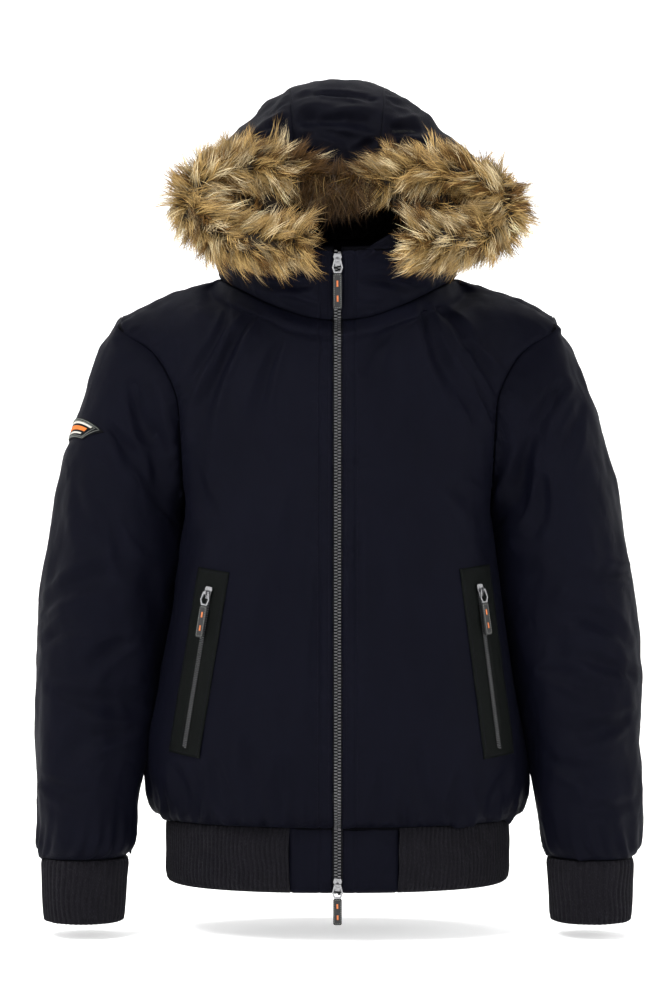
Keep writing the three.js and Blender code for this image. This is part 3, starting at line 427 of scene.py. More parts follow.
def creases(points, rows, facing=None):
    """Soft troughs with raised lips. A row: from x, z, to x, z, bow, width, depth."""
    depth = np.zeros(points.shape[:-1])
    x, z = points[..., 0], points[..., 2]
    for x0, z0, x1, z1, bow, width, deep in rows:
        run = np.array([x1 - x0, z1 - z0])
        length = np.linalg.norm(run)
        along = ((x - x0) * run[0] + (z - z0) * run[1]) / length ** 2
        off = (-(x - x0) * run[1] + (z - z0) * run[0]) / length
        inside = np.clip(along, 0, 1)
        off = off - bow * 4 * inside * (1 - inside)
        past = (along - inside) * length
        q = np.hypot(off, past) / (0.92 * width * (0.65 + 0.7 * inside))
        profile = np.exp(-q * q) - 0.42 * np.exp(-((q - 1.75) / 0.62) ** 2)
        depth += 1.85 * deep * profile * (0.35 + 0.65 * np.sin(math.pi * inside) ** 0.7)
    return depth if facing is None else depth * facing


def pucker(along, away, wavelength, reach, seed):
    """Gathers that run into a seam and die out over reach."""
    rng = np.random.default_rng(seed)
    total = np.zeros_like(along)
    for _ in range(9):
        k = 2 * math.pi / (wavelength * rng.uniform(0.65, 1.6))
        total += np.cos(k * along + rng.uniform(0, 7) + rng.uniform(-0.02, 0.02) * away)
    return total / 3 * np.exp(-(away / reach) ** 2) * smoothstep(away, 0.3, 0.3 * reach + 2)


def rolled(away, depth=1.1, width=2.2):
    """How far cloth turns in at a seam, or dips at stitches, that lie that far away."""
    return -depth * np.exp(-(away / width) ** 2)


def placket_lines(u):
    """The dips at the placket's fold and at the stitches by the zip."""
    return rolled(np.abs(u - PLACKET), 0.9, 1.1) + rolled(np.abs(u - EDGE_STITCH), 0.35, 0.8)


def calm(*aways):
    """Nothing at the seams, where neighbouring cloths must meet, and 1 away from them."""
    return smoothstep(np.minimum.reduce(np.broadcast_arrays(*aways)), 0.5, 18)


# ---------------------------------------------------------------- meshes

def new_object(name, mesh, material, body, node):
    obj = bpy.data.objects.new(name, mesh)
    bpy.context.scene.collection.objects.link(obj)
    mesh.materials.append(material)
    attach(obj, body)
    if node:
        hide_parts(node)
    return obj


def fix_outside(mesh):
    work = bmesh.new()
    work.from_mesh(mesh)
    bmesh.ops.recalc_face_normals(work, faces=work.faces)
    work.to_mesh(mesh)
    work.free()


def solid(name, mesh, material, body, node):
    """An object whose faces all look outwards."""
    fix_outside(mesh)
    return new_object(name, mesh, material, body, node)


def add_tube(faces, first, around, rings, closed=False):
    """Faces of a tube through rings of points, numbered from first; open tubes get ends."""
    number = first + np.arange(rings * around).reshape(rings, around)
    ahead = np.roll(number, -1, 0)
    quads = np.stack([number, np.roll(number, -1, 1), np.roll(ahead, -1, 1), ahead], -1)
    faces.extend((quads if closed else quads[:-1]).reshape(-1, 4).tolist())
    if not closed:
        faces.extend([number[0, ::-1].tolist(), number[-1].tolist()])


def mesh_from(name, points, faces, uv=None, smooth=True):
    """A mesh from points in mm; uv gives each point's place along the cloth in mm."""
    mesh = bpy.data.meshes.new(name)
    mesh.from_pydata((np.asarray(points) * MM).tolist(), [], faces)
    mesh.update()
    if uv is not None:
        layer = mesh.uv_layers.new(name="cloth")
        corners = np.zeros(len(mesh.loops), np.int32)
        mesh.loops.foreach_get("vertex_index", corners)
        layer.data.foreach_set("uv", (np.asarray(uv)[corners] * MM).astype(np.float32).ravel())
    if smooth:
        mesh.polygons.foreach_set("use_smooth", [True] * len(mesh.polygons))
    return mesh


def kept(count, step, closed):
    """Every step-th of count places, with the last one where the row is open."""
    places = list(range(0, count, step))
    if not closed and places[-1] != count - 1:
        places.append(count - 1)
    return places


def shell_mesh(name, outer, wall, step, closed=False):
    """One closed body: a fine outer grid, a coarser inner one, and rims between them."""
    rows, columns = outer.shape[:2]
    inner = outer - normals_of(outer, closed) * wall
    u, v = lengths_of(outer)
    keep_r, keep_c = kept(rows, step, False), kept(columns, step, closed)
    number = np.arange(rows * columns).reshape(rows, columns)
    base = rows * columns
    inside = base + np.arange(len(keep_r) * len(keep_c)).reshape(len(keep_r), len(keep_c))
    inner_points = inner[np.ix_(keep_r, keep_c)]
    points = np.concatenate([outer.reshape(-1, 3), inner_points.reshape(-1, 3)])
    uv = np.concatenate([
        np.stack([u, v], -1).reshape(-1, 2),
        np.stack([u, v], -1)[np.ix_(keep_r, keep_c)].reshape(-1, 2),
    ])

    def quads(grid, turned):
        right = np.roll(grid, -1, 1) if closed else grid[:, 1:]
        left = grid if closed else grid[:, :-1]
        a, b, c, d = left[:-1], right[:-1], right[1:], left[1:]
        order = [a, d, c, b] if turned else [a, b, c, d]
        return np.stack(order, -1).reshape(-1, 4).tolist()

    faces = quads(number, False) + quads(inside, True)

    def rim(line, inner_line, places, total, turned, loop):
        for i in range(len(places) if loop else len(places) - 1):
            start = places[i]
            end = places[i + 1] if i + 1 < len(places) else total
            outer_run = [int(line[j % total]) for j in range(start, end + 1)]
            inner_run = [int(inner_line[i]), int(inner_line[(i + 1) % len(places)])]
            face = outer_run[::-1] + inner_run
            faces.append(face[::-1] if turned else face)

    rim(number[0], inside[0], keep_c, columns, False, closed)
    rim(number[-1], inside[-1], keep_c, columns, True, closed)
    if not closed:
        rim(number[:, 0], inside[:, 0], keep_r, rows, True, False)
        rim(number[:, -1], inside[:, -1], keep_r, rows, False, False)
    return mesh_from(name, points, faces, uv)


def sew(name, outer, cloth, node=None, wall=SHELL,
        closed=False, step=3, seams=(), bound=None, sign=1):
    """Makes a cloth from its outer face and binds its seams, if any."""
    mesh = shell_mesh(name, outer, wall, step, closed)
    piece = new_object(name, mesh, cloth, "jacket", node)
    if bound:
        make_seams(bound, sign, *seams)


def mirrored(grid):
    return (grid * [-1, 1, 1])[:, ::-1]


def handed(grid, sign):
    return grid if sign > 0 else mirrored(grid)


# ---------------------------------------------------------------- materials

def material(name, base, roughness, metallic=0.0, specular=0.5, sheen=0.0):
    made = bpy.data.materials.new(name)
    made.use_nodes = True
    shader = made.node_tree.nodes["Principled BSDF"]
    for key, value in (("Base Color", (*base, 1)), ("Roughness", roughness),
                       ("Metallic", metallic), ("Specular IOR Level", specular),
                       ("Sheen Weight", sheen)):
        shader.inputs[key].default_value = value
    return made, made.node_tree, shader


def node(tree, kind, values=None, **attributes):
    made = tree.nodes.new(kind)
    for key, value in attributes.items():
        setattr(made, key, value)
    for key, value in (values or {}).items():
        made.inputs[key].default_value = value
    return made


def math_node(tree, operation, *values):
    made = node(tree, "ShaderNodeMath", operation=operation)
    for i, value in enumerate(values):
        if isinstance(value, (int, float)):
            made.inputs[i].default_value = value
        else:
            tree.links.new(value, made.inputs[i])
    return made.outputs[0]


def ramp(tree, factor, stops):
    made = node(tree, "ShaderNodeValToRGB")
    line = made.color_ramp
    while len(line.elements) < len(stops):
        line.elements.new(0.5)
    for element, (place, colour) in zip(line.elements, stops):
        element.position = place
        element.color = (*colour, 1)
    tree.links.new(factor, made.inputs["Fac"])
    return made.outputs["Color"]


def cloth_coordinates(tree):
    """Place along the cloth, in metres."""
    return node(tree, "ShaderNodeUVMap", uv_map="cloth").outputs["UV"]


def object_coordinates(tree):
    return node(tree, "ShaderNodeTexCoord").outputs["Object"]


def noise(tree, vector, scale, detail=3.0, roughness=0.55):
    made = node(tree, "ShaderNodeTexNoise",
                {"Scale": scale, "Detail": detail, "Roughness": roughness})
    tree.links.new(vector, made.inputs["Vector"])
    return made.outputs["Fac"]


def lines(tree, vector, angle, pitch):
    """Parallel raised lines, pitch in metres, between 0 and 1."""
    turn = node(tree, "ShaderNodeMapping", {"Rotation": (0, 0, math.radians(angle))})
    tree.links.new(vector, turn.inputs["Vector"])
    wave = node(tree, "ShaderNodeTexWave", {"Scale": 0.3142 / pitch, "Distortion": 0.0},
                wave_type="BANDS", bands_direction="X", wave_profile="SIN")
    tree.links.new(turn.outputs["Vector"], wave.inputs["Vector"])
    return wave.outputs["Fac"]


def bump(tree, shader, height, strength, distance):
    made = node(tree, "ShaderNodeBump", {"Strength": strength, "Distance": distance})
    tree.links.new(height, made.inputs["Height"])
    tree.links.new(made.outputs["Normal"], shader.inputs["Normal"])


TWILL_ROUGHNESS = 0.6
# How much a metal's roughness varies, both ways, by scuffs.
WEAR = 0.12


def woven(name, dark, light, pitch, angle=35, strength=0.5, specular=0.04, sheen=0.004,
          sheen_tint=(0.5, 0.55, 0.8)):
    """A twill: fine diagonal wales, broken by yarns, with a faint uneven tone."""
    made, tree, shader = material(name, dark, TWILL_ROUGHNESS, specular=specular, sheen=sheen)
    shader.inputs["Sheen Roughness"].default_value = 0.45
    shader.inputs["Sheen Tint"].default_value = (*sheen_tint, 1)
    place = cloth_coordinates(tree)
    wale = lines(tree, place, angle, pitch)
    yarn = lines(tree, place, angle - 74, pitch * 0.62)
    weave = math_node(tree, "MULTIPLY", wale, math_node(tree, "MULTIPLY_ADD", yarn, 0.45, 0.55))
    broad = noise(tree, place, 9.0, 4.0)
    fine = noise(tree, place, 420.0, 2.0)
    tone = math_node(tree, "ADD", math_node(tree, "MULTIPLY", broad, 0.55),
                     math_node(tree, "MULTIPLY", fine, 0.45))
    tone = math_node(tree, "ADD", tone, math_node(tree, "MULTIPLY", weave, 0.22))
    colour = ramp(tree, tone, [(0.3, dark), (0.85, light)])
    tree.links.new(colour, shader.inputs["Base Color"])
    rough = math_node(tree, "MULTIPLY_ADD", broad, 0.16, TWILL_ROUGHNESS - 0.08)
    tree.links.new(rough, shader.inputs["Roughness"])
    height = math_node(tree, "ADD", weave, math_node(tree, "MULTIPLY", fine, 0.5))
    bump(tree, shader, height, strength, 0.00025)
    return made


def knit(name, dark, light, fleck):
    """Melange rib knit: loops along each rib and pale fibres among the dark ones."""
    made, tree, shader = material(name, dark, 0.92, specular=0.06, sheen=0.02)
    shader.inputs["Sheen Roughness"].default_value = 0.5
    place = cloth_coordinates(tree)
    loops = lines(tree, place, 90 + 28, 0.0017)
    cross = lines(tree, place, 90 - 28, 0.0017)
    stitch = math_node(tree, "MAXIMUM", loops, cross)
    stretch = node(tree, "ShaderNodeMapping", {"Scale": (1.0, 0.32, 1.0)})
    tree.links.new(place, stretch.inputs["Vector"])
    fibres = noise(tree, stretch.outputs["Vector"], 1100.0, 3.0, 0.75)
    patches = noise(tree, place, 60.0, 3.0)
    tone = math_node(tree, "ADD", math_node(tree, "MULTIPLY", fibres, 0.9),
                     math_node(tree, "MULTIPLY", patches, 0.12))
    colour = ramp(tree, tone, [(0.36, dark), (0.56, light), (0.74, fleck)])
    tree.links.new(colour, shader.inputs["Base Color"])
    height = math_node(tree, "ADD", stitch, fibres)
    bump(tree, shader, height, 0.55, 0.0006)
    return made


def grained(name, dark, light, roughness, specular, grain, low, high, relief, sheen=0.0):
    """A plain stuff with a grain of that scale, detail and, where given, roughness."""
    made, tree, shader = material(name, dark, roughness, specular=specular, sheen=sheen)
    shade = noise(tree, object_coordinates(tree), *grain)
    tree.links.new(ramp(tree, shade, [(low, dark), (high, light)]), shader.inputs["Base Color"])
    bump(tree, shader, shade, *relief)
    return made


def pile(name):
    """Fur fibres, painted by the colours stored on the strands: their tone, with painted shade and
    painted highlight.
    """
    made, tree, shader = material(name, (0.2, 0.12, 0.05), 0.55, specular=0.16)
    paint = node(tree, "ShaderNodeAttribute", attribute_name="fibre")
    fine = noise(tree, object_coordinates(tree), 900.0, 2.0)
    shade = node(tree, "ShaderNodeMix", {"Factor": 0.35}, data_type="RGBA", blend_type="MULTIPLY")
    tree.links.new(paint.outputs["Color"], shade.inputs["A"])
    tree.links.new(ramp(tree, fine, [(0.3, (0.45, 0.42, 0.4)), (0.7, (1, 1, 1))]),
                   shade.inputs["B"])
    tree.links.new(shade.outputs["Result"], shader.inputs["Base Color"])
    return made


def metal(name, base, roughness):
    made, tree, shader = material(name, base, roughness, metallic=1.0)
    scuff = noise(tree, object_coordinates(tree), 500.0, 4.0, 0.65)
    rough = math_node(tree, "MULTIPLY_ADD", scuff, WEAR * 2, roughness - WEAR)
    tree.links.new(rough, shader.inputs["Roughness"])
    dim = tuple(c * 0.72 for c in base)
    tree.links.new(ramp(tree, scuff, [(0.3, dim), (0.65, base)]), shader.inputs["Base Color"])
    bump(tree, shader, scuff, 0.15, 0.0002)
    return made


def moulded(name, dark, light, roughness=0.5):
    return grained(name, dark, light, roughness, 0.4, (700.0, 3.0), 0.3, 0.8, (0.25, 0.0003))


def thread(name, dark, light):
    return grained(name, dark, light, 0.8, 0.1, (1500.0, 2.0), 0.3, 0.7, (0.4, 0.0002))


NAVY = woven("navy_twill", (0.0011, 0.0012, 0.0036), (0.0030, 0.0032, 0.0074), 0.0011)
# The hood's twill is a lighter, greyer copy of the navy twill: painted light on the topmost piece.
LIT_HOOD_NAVY = woven("hood_twill_painted_light", (0.0015, 0.0016, 0.0037), (0.0039, 0.0040, 0.0074), 0.0011)
WELT_CLOTH = woven("welt_twill", (0.0018, 0.0023, 0.0021), (0.0044, 0.0052, 0.0048), 0.0016,
                   angle=0, strength=0.8, sheen_tint=(0.6, 0.65, 0.6))
TAPE = woven("zip_tape", (0.0018, 0.0018, 0.0024), (0.006, 0.006, 0.0076), 0.0009, angle=20)
RIB_KNIT = knit("charcoal_rib", (0.0018, 0.0018, 0.0027), (0.0068, 0.0063, 0.0086),
                (0.034, 0.033, 0.040))
FLEECE = grained("black_fleece", (0.0022, 0.0022, 0.0026), (0.013, 0.013, 0.0145), 1.0, 0.05,
                 (260.0, 4.0, 0.7), 0.35, 0.75, (1.0, 0.0025), sheen=0.04)
FUR_PILE = pile("fur_fibres")
TEETH = metal("dark_teeth", (0.155, 0.155, 0.16), 0.3)
NICKEL = metal("nickel", (0.33, 0.33, 0.34), 0.3)
TAG_BLACK = moulded("tag_black", (0.006, 0.006, 0.0065), (0.02, 0.02, 0.021))
ORANGE = moulded("tag_orange", (0.50, 0.10, 0.02), (0.72, 0.24, 0.07), 0.45)
NAVY_THREAD = thread("navy_thread", (0.004, 0.004, 0.008), (0.010, 0.010, 0.017))
GREY_THREAD = thread("grey_thread", (0.09, 0.1, 0.09), (0.26, 0.27, 0.25))
# Binding is near-black, darker than the shell, so that seam slits read dark: painted shade inside
# the seams.
SHADE_BINDING = woven("seam_binding_painted_shade", (0.0006, 0.0006, 0.0011), (0.0014, 0.0014, 0.0024), 0.0009,
                specular=0.02, sheen=0.0)
PALE_THREAD = thread("pale_thread", (0.4, 0.38, 0.33), (0.68, 0.66, 0.6))
RUST_THREAD = thread("rust_thread", (0.42, 0.1, 0.02), (0.75, 0.22, 0.05))


# ---------------------------------------------------------------- body cloth

# Main creases of each front, in its own half: from x, z, to x, z, bow, width, depth.
FRONT_CREASES = {
    "right": [
        (94, -24, 146, -140, 8, 8, 4.2),
        (62, -50, 86, -138, 4, 7, 2.6),
        (118, -12, 158, -96, -4, 6, 2.2),
        (150, -190, 128, -250, 3, 9, 2.2),
        (40, -215, 66, -400, 6, 13, 1.6),
        (168, -330, 150, -250, -5, 8, 1.6),
        (96, -470, 88, -540, 2, 8, 2.0),
        (60, -492, 66, -548, -1, 7, 1.7),
        (128, -500, 118, -552, 2, 8, 2.0),
        (176, -505, 160, -550, 2, 8, 2.0),
        (20, -300, 24, -470, 1, 6, 1.2),
    ],
    "left": [
        (92, -4, 134, -108, -7, 8, 4.0),
        (134, -108, 152, -136, 0, 6, 2.2),
        (108, -12, 141, -52, 4, 6, 3.0),
        (141, -52, 176, -106, 3, 7, 3.2),
        (150, -86, 178, -142, -3, 6, 2.6),
        (53, -40, 31, -88, -3, 8, 1.8),
        (120, -205, 150, -235, 3, 9, 2.2),
        (44, -250, 60, -420, -6, 14, 1.6),
        (170, -300, 156, -236, 4, 8, 1.8),
        (84, -474, 92, -544, -2, 8, 2.0),
        (48, -500, 44, -550, 1, 7, 1.8),
        (130, -505, 124, -552, 2, 8, 2.1),
        (182, -500, 168, -548, 1, 8, 2.0),
        (23, -240, 20, -380, -1, 6, 1.2),
    ],
}
# Creases of the back, over its whole width.
BACK_CREASES = [
    (150, -78, 166, -178, 6, 10, 3.6),
    (-148, -84, -170, -170, -6, 10, 3.4),
    (60, -30, 120, -92, 6, 9, 2.2),
    (-70, -36, -118, -86, -5, 9, 2.4),
    (30, -470, 130, -500, 6, 12, 2.6),
    (-20, -488, -120, -505, -6, 12, 2.6),
    (160, -240, 96, -300, 8, 12, 2.8),
    (-164, -250, -86, -318, -8, 12, 2.8),
    (140, -330, 60, -360, 6, 12, 2.0),
    (-120, -350, -40, -372, -5, 12, 1.8),
    (40, -180, 52, -300, 6, 16, 1.6),
    (-52, -150, -38, -280, -6, 15, 1.6),
    (96, -500, 90, -550, 2, 8, 2.0),
    (-60, -498, -66, -552, 2, 8, 2.0),
    (-150, -500, -140, -548, -2, 8, 2.0),
    (10, -510, 6, -552, 1, 8, 1.8),
]
ZIP_COLUMNS = np.concatenate([np.arange(0, 22, 0.9), np.arange(22, 30, 2)])
# Distances of the placket's fold and of its edge stitches from the edge by the zip.
PLACKET = 14.6
EDGE_STITCH = 5.2
# Binding: sides of its tube, how deep it lies, its half width and half thickness, its steps.
SEAM_SIDES, SEAM_INSET, SEAM_HALF, SEAM_THICK, SEAM_STEP = 6, 3.3, 3.2, 1.9, 7


def panel_places(side, spacing):
    """Places across a panel that are even along its chest, and closer by the zip."""
    fine = np.linspace(0, 1, 400)
    chest = panel_points(side, fine, np.array([4.0]))[0]
    run = run_along(chest)
    wanted = np.arange(0, run[-1], spacing)
    if side == "front":
        wanted = np.concatenate([ZIP_COLUMNS, np.arange(31, run[-1], spacing)])
    wanted = np.concatenate([wanted[wanted < run[-1] - 5.5], run[-1] - EDGE_ROWS[::-1]])
    return np.interp(wanted, run, fine)


def even_rows(curve, fine, spacing):
    """Row numbers, out of fine ones, that are even along a curve and closer at its ends."""
    run = run_along(curve(fine))
    inside = np.arange(7, run[-1] - 6, spacing)
    return np.interp(np.concatenate([EDGE_ROWS, inside, run[-1] - EDGE_ROWS[::-1]]), run, fine)


def panel_heights(spacing):
    return even_rows(lambda t: panel_points("front", np.array([0.5]), t)[:, 0],
                     np.linspace(0, PANEL_TOP, 500), spacing)


def make_seams(name, sign, *runs):
    """Bound seam allowances: soft flat tubes just inside the seams, which they close, near-black as
    painted shade in the slits.
    """
    points, faces = [], []
    angle = np.linspace(0, 2 * math.pi, SEAM_SIDES + 1)[:-1]
    for edge, normals, closed in runs:
        line = np.concatenate([edge, edge[:1]]) if closed else edge
        facing = np.concatenate([normals, normals[:1]]) if closed else normals
        run = run_along(line)
        places = np.linspace(0, run[-1], int(run[-1] / SEAM_STEP) + 2)
        line, facing = at_places(places, run, line), unit(at_places(places, run, facing))
        if closed:
            line, facing = line[:-1], facing[:-1]
            around = unit(np.roll(line, -1, 0) - np.roll(line, 1, 0))
        else:
            around = unit(np.gradient(line, axis=0))
        side = unit(np.cross(around, facing))
        up = np.cross(side, around)
        tube = ((line - facing * SEAM_INSET)[:, None]
                + SEAM_HALF * side[:, None] * np.cos(angle)[None, :, None]
                + SEAM_THICK * up[:, None] * np.sin(angle)[None, :, None])
        add_tube(faces, len(points), SEAM_SIDES, len(tube), closed)
        points += tube.reshape(-1, 3).tolist()
    mesh = mesh_from(name, np.array(points) * [sign, 1, 1], faces)
    solid(name, mesh, SHADE_BINDING, "jacket", None)


def pocket_line(name):
    """Top x and z of a pocket, its direction down and its length."""
    top_x, top_z, bottom_x, bottom_z = POCKETS[name]
    length = math.hypot(bottom_x - top_x, bottom_z - top_z)
    return top_x, top_z, np.array([bottom_x - top_x, bottom_z - top_z]) / length, length


def by_pocket(name, points):
    """1 on the cloth under a pocket's welt, falling to 0 around it."""
    top_x, top_z, down, length = pocket_line(name)
    x, z = points[..., 0] - top_x, points[..., 2] - top_z
    along, across = x * down[0] + z * down[1], z * down[0] - x * down[1]
    past = np.maximum(np.abs(across) - WELT_HALF, np.maximum(-along, along - length))
    return smoothstep(past, 26, 3)


def under_arm(away, z):
    """Less relief by the side seam below the armpit, where the sleeve rests on the body."""
    return 1 - 0.8 * smoothstep(away, 26, 8) * smoothstep(-z, 205, 225)


def drooped(points, away, run, seed):
    """Lets gathered cloth sag unevenly over the seam below it."""
    share = np.clip(waves(np.stack([run, run * 0, run * 0], -1), (34, 34, 34), 20, seed), 0, 1.3)
    lower = points.copy()
    lower[..., 2] -= 4.6 * share * np.exp(-((away - 6.5) / 4.5) ** 2)
    return lower


def soft_relief(grid, seed, scale=1.0):
    """Uneven wadding and the long and small wrinkles that a sewn, worn cloth always has."""
    puff = waves(grid, (120, 120, 190), 22, seed) * 2.1
    drape = waves(grid, (46, 60, 110), 26, seed + 3) * 1.25
    mid = waves(grid, (24, 26, 44), 34, seed + 1) * 0.5
    small = waves(grid, (10, 11, 15), 40, seed + 2) * 0.13
    fold = waves(grid, (60, 60, 80), 14, seed + 4)
    sharp = np.clip(1 - np.abs(fold) / 0.16, 0, 1) ** 2 * np.clip(mid + 0.6, 0, 1.2)
    return (puff + drape + mid + small - 0.9 * sharp) * scale


EVENING_ROUNDS = 14


def evened(grid, start):
    """The grid with its lines smoothed upwards from row start, its edge rows kept."""
    grid = grid.copy()
    for _ in range(EVENING_ROUNDS):
        grid[start:-1] += 0.5 * ((grid[start - 1:-2] + grid[start + 1:]) / 2 - grid[start:-1])
    return grid


def make_front(name, sign):
    s, t = panel_places("front", 3.4), panel_heights(3.4)
    grid = evened(panel_points("front", s, t), int(YOKE_SHARE * len(t)))
    normals, u, v, from_edge, from_top = measured(grid)
    z = grid[..., 2]
    near_placket = np.abs(u - PLACKET)
    seed = 11 if sign > 0 else 23
    relief = soft_relief(grid * [sign, 1, 1], seed) * smoothstep(u, 4, 46)
    relief -= creases(grid, FRONT_CREASES[name])
    relief *= calm(from_edge, from_top, v)
    relief *= under_arm(from_edge, z)
    relief += rolled(u, 1.4, 2.0) + rolled(from_edge) + rolled(from_top, 0.8) + rolled(v)
    relief += placket_lines(u)
    relief += 0.8 * pucker(v, near_placket, 19, 12, seed + 5)
    relief += 0.7 * pucker(v, from_edge, 15, 14, seed + 6)
    relief += 0.6 * pucker(u, from_top, 16, 12, seed + 7)
    relief += 2.3 * pucker(u, v, 24, 44, seed + 8) * smoothstep(u, 16, 40)
    relief += 1.5 * pucker(u, v, 13, 17, seed + 9) * smoothstep(u, 14, 34)
    relief += 0.7 * np.exp(-((z + 560) / 9) ** 2)
    under = by_pocket(name, grid)
    relief = relief * (1 - under) + 0.3 * np.minimum(relief, 0.2) * under
    outer = drooped(grid + normals * relief[..., None], v, u, seed + 10)
    sew(f"front_{name}_cloth", handed(outer, sign), NAVY,
        f"front_{name}", bound=f"front_{name}_seams", sign=sign,
        seams=[(grid[0], normals[0], False), (grid[:, -1], normals[:, -1], False),
               (grid[-1], normals[-1], False)])


def make_back():
    s, t = panel_places("back", 4.5), panel_heights(4.5)
    half = evened(panel_points("back", s, t), int(YOKE_SHARE * len(t)))
    grid = np.concatenate([half[:, ::-1], (half * [-1, 1, 1])[:, 1:]], 1)
    normals, u, v, from_edge, from_top = measured(grid)
    to_side = np.minimum(u, from_edge)
    relief = soft_relief(grid, 41, 1.1) - creases(grid, BACK_CREASES)
    relief *= calm(to_side, from_top, v)
    relief *= under_arm(to_side, grid[..., 2])
    relief += rolled(to_side) + rolled(from_top, 0.8) + rolled(v)
    relief += 0.7 * pucker(v, to_side, 15, 14, 45) + 0.6 * pucker(u, from_top, 16, 12, 46)
    relief += 2.3 * pucker(u, v, 24, 44, 47) + 1.5 * pucker(u, v, 13, 17, 48)
    outer = drooped(grid + normals * relief[..., None], v, u, 49)
    sew("back_cloth", outer, NAVY, node="back", bound="back_seams",
        seams=[(grid[0], normals[0], False), (grid[-1], normals[-1], False)])


# Creases of the sleeves, seen from the front (first) and from behind (second).
SLEEVE_CREASES = {
    "right": (
        [
            (222, -95, 186, -178, 5, 9, 4.5),
            (204, -100, 182, -160, 4, 7, 2.8),
            (246, -140, 214, -176, 3, 8, 2.8),
            (200, -168, 188, -200, 2, 6, 2.2),
            (318, -335, 236, -300, -8, 10, 3.2),
            (316, -372, 262, -352, -5, 8, 2.4),
            (222, -372, 268, -402, 5, 9, 2.6),
            (306, -420, 218, -436, 6, 10, 2.6),
            (226, -470, 292, -488, 5, 10, 2.4),
            (318, -520, 262, -536, 4, 9, 2.2),
            (240, -250, 214, -300, 4, 9, 2.4),
            (280, -210, 262, -262, 4, 10, 1.8),
        ],
        [
            (230, -110, 192, -190, 6, 10, 4.0),
            (300, -300, 224, -318, -8, 11, 3.2),
            (310, -360, 232, -372, 7, 11, 3.0),
            (222, -420, 296, -436, -6, 11, 2.6),
            (308, -500, 240, -512, 6, 10, 2.2),
            (262, -180, 240, -250, 5, 11, 2.2),
        ],
    ),
    "left": (
        [
            (244, -97, 208, -155, -5, 9, 4.6),
            (208, -155, 194, -232, -3, 9, 4.0),
            (262, -120, 236, -180, 4, 8, 2.4),
            (222, -196, 208, -262, 4, 8, 2.6),
            (322, -300, 246, -282, 6, 9, 2.4),
            (312, -372, 250, -340, -6, 10, 3.2),
            (318, -408, 246, -392, -5, 9, 3.0),
            (226, -404, 282, -424, 4, 9, 2.6),
            (316, -452, 236, -466, 6, 10, 2.8),
            (230, -500, 300, -512, -5, 10, 2.4),
            (318, -545, 250, -552, 3, 8, 2.0),
        ],
        [
            (236, -104, 196, -186, -6, 10, 4.2),
            (306, -290, 230, -312, 8, 11, 3.2),
            (224, -356, 300, -380, -7, 11, 3.0),
            (310, -430, 236, -446, -6, 11, 2.8),
            (228, -508, 306, -516, 5, 10, 2.4),
        ],
    ),
}


def pressed(points):
    """The sleeve's points with its inner side resting flat on the side of the body."""
    x, y, z = points[..., 0], points[..., 1], points[..., 2]
    rows = row_at(BODY, np.linspace(0, len(BODY) - 1, 90))
    rows = np.vstack([rows[rows[:, 1] < -236], [171, -198, -124, 131, 2.4]])
    half, front, back, square = (np.interp(z, rows[:, 1], rows[:, i]) for i in (0, 2, 3, 4))
    depth = np.where(y < 0, -front, back)
    body = half * (1 - np.minimum(np.abs(y) / depth, 0.98) ** square) ** (1 / square)
    gap = np.where(np.abs(y) < 70, x - body, 999)
    least = np.minimum(gap.min(1, keepdims=True), 8)
    share = smoothstep(z, -532, -494) * smoothstep(-z, 192, 206)
    shift = (least + 2.2) * np.exp(-(np.maximum(gap - least, 0) / 16) ** 2) * share
    rest = np.maximum(x - shift, body - 0.7)
    moved = points.copy()
    moved[..., 0] = np.where((share > 0) & (gap < 60), rest, x)
    return moved


def make_sleeve(name, sign):
    index = np.linspace(0, 2 * ARMHOLE, 153)[:-1]
    t = even_rows(lambda k: sleeve_points(np.array([float(ARMHOLE)]), k)[:, 0],
                  np.linspace(0, len(SLEEVE), 600), 4.1)
    grid = sleeve_points(index, t)
    normals, u, v, _, from_top = measured(grid, True)
    seed = 61 if sign > 0 else 71
    front, back = SLEEVE_CREASES[name]
    relief = soft_relief(grid * [sign, 1, 1], seed, 1.15)
    relief -= creases(grid, front, smoothstep(-normals[..., 1], -0.15, 0.35))
    relief -= creases(grid, back, smoothstep(normals[..., 1], -0.15, 0.35))
    relief *= calm(from_top, v)
    relief += rolled(from_top, 0.9) + rolled(v, 1.4)
    relief += 1.1 * pucker(u, from_top, 17, 18, seed + 5)
    relief += 2.2 * pucker(u, v, 20, 36, seed + 6)
    if name == "right":
        relief *= 1 - by_patch(index[None], t[:, None])
    outer = pressed(drooped(grid + normals * relief[..., None], v, u, seed + 7))
    sew(f"sleeve_{name}_cloth", handed(outer, sign),
        NAVY, f"sleeve_{name}", closed=True,
        bound=f"sleeve_{name}_seams", sign=sign,
        seams=[(grid[-1] - [1.0, 0, 0], normals[-1], True), (grid[0], normals[0], True)])


# Heights of the collar's lowest rows, close together at its seam.
COLLAR_FOOT = [0, 0.012, 0.03, 0.055]
# Creases of the collar, seen from the front, in its own half.
COLLAR_CREASES = {
    "right": [(30, 8, 92, 20, -4, 6, 2.6), (24, -14, 60, -4, -3, 5, 1.8),
              (70, 34, 118, 40, 3, 7, 2.4), (34, 34, 60, 22, 2, 5, 1.6)],
    "left": [(28, 14, 88, 2, 4, 6, 2.8), (60, 38, 112, 22, 4, 7, 2.4),
             (22, -10, 50, -14, -2, 5, 1.6), (30, 36, 54, 40, 2, 5, 1.6)],
}


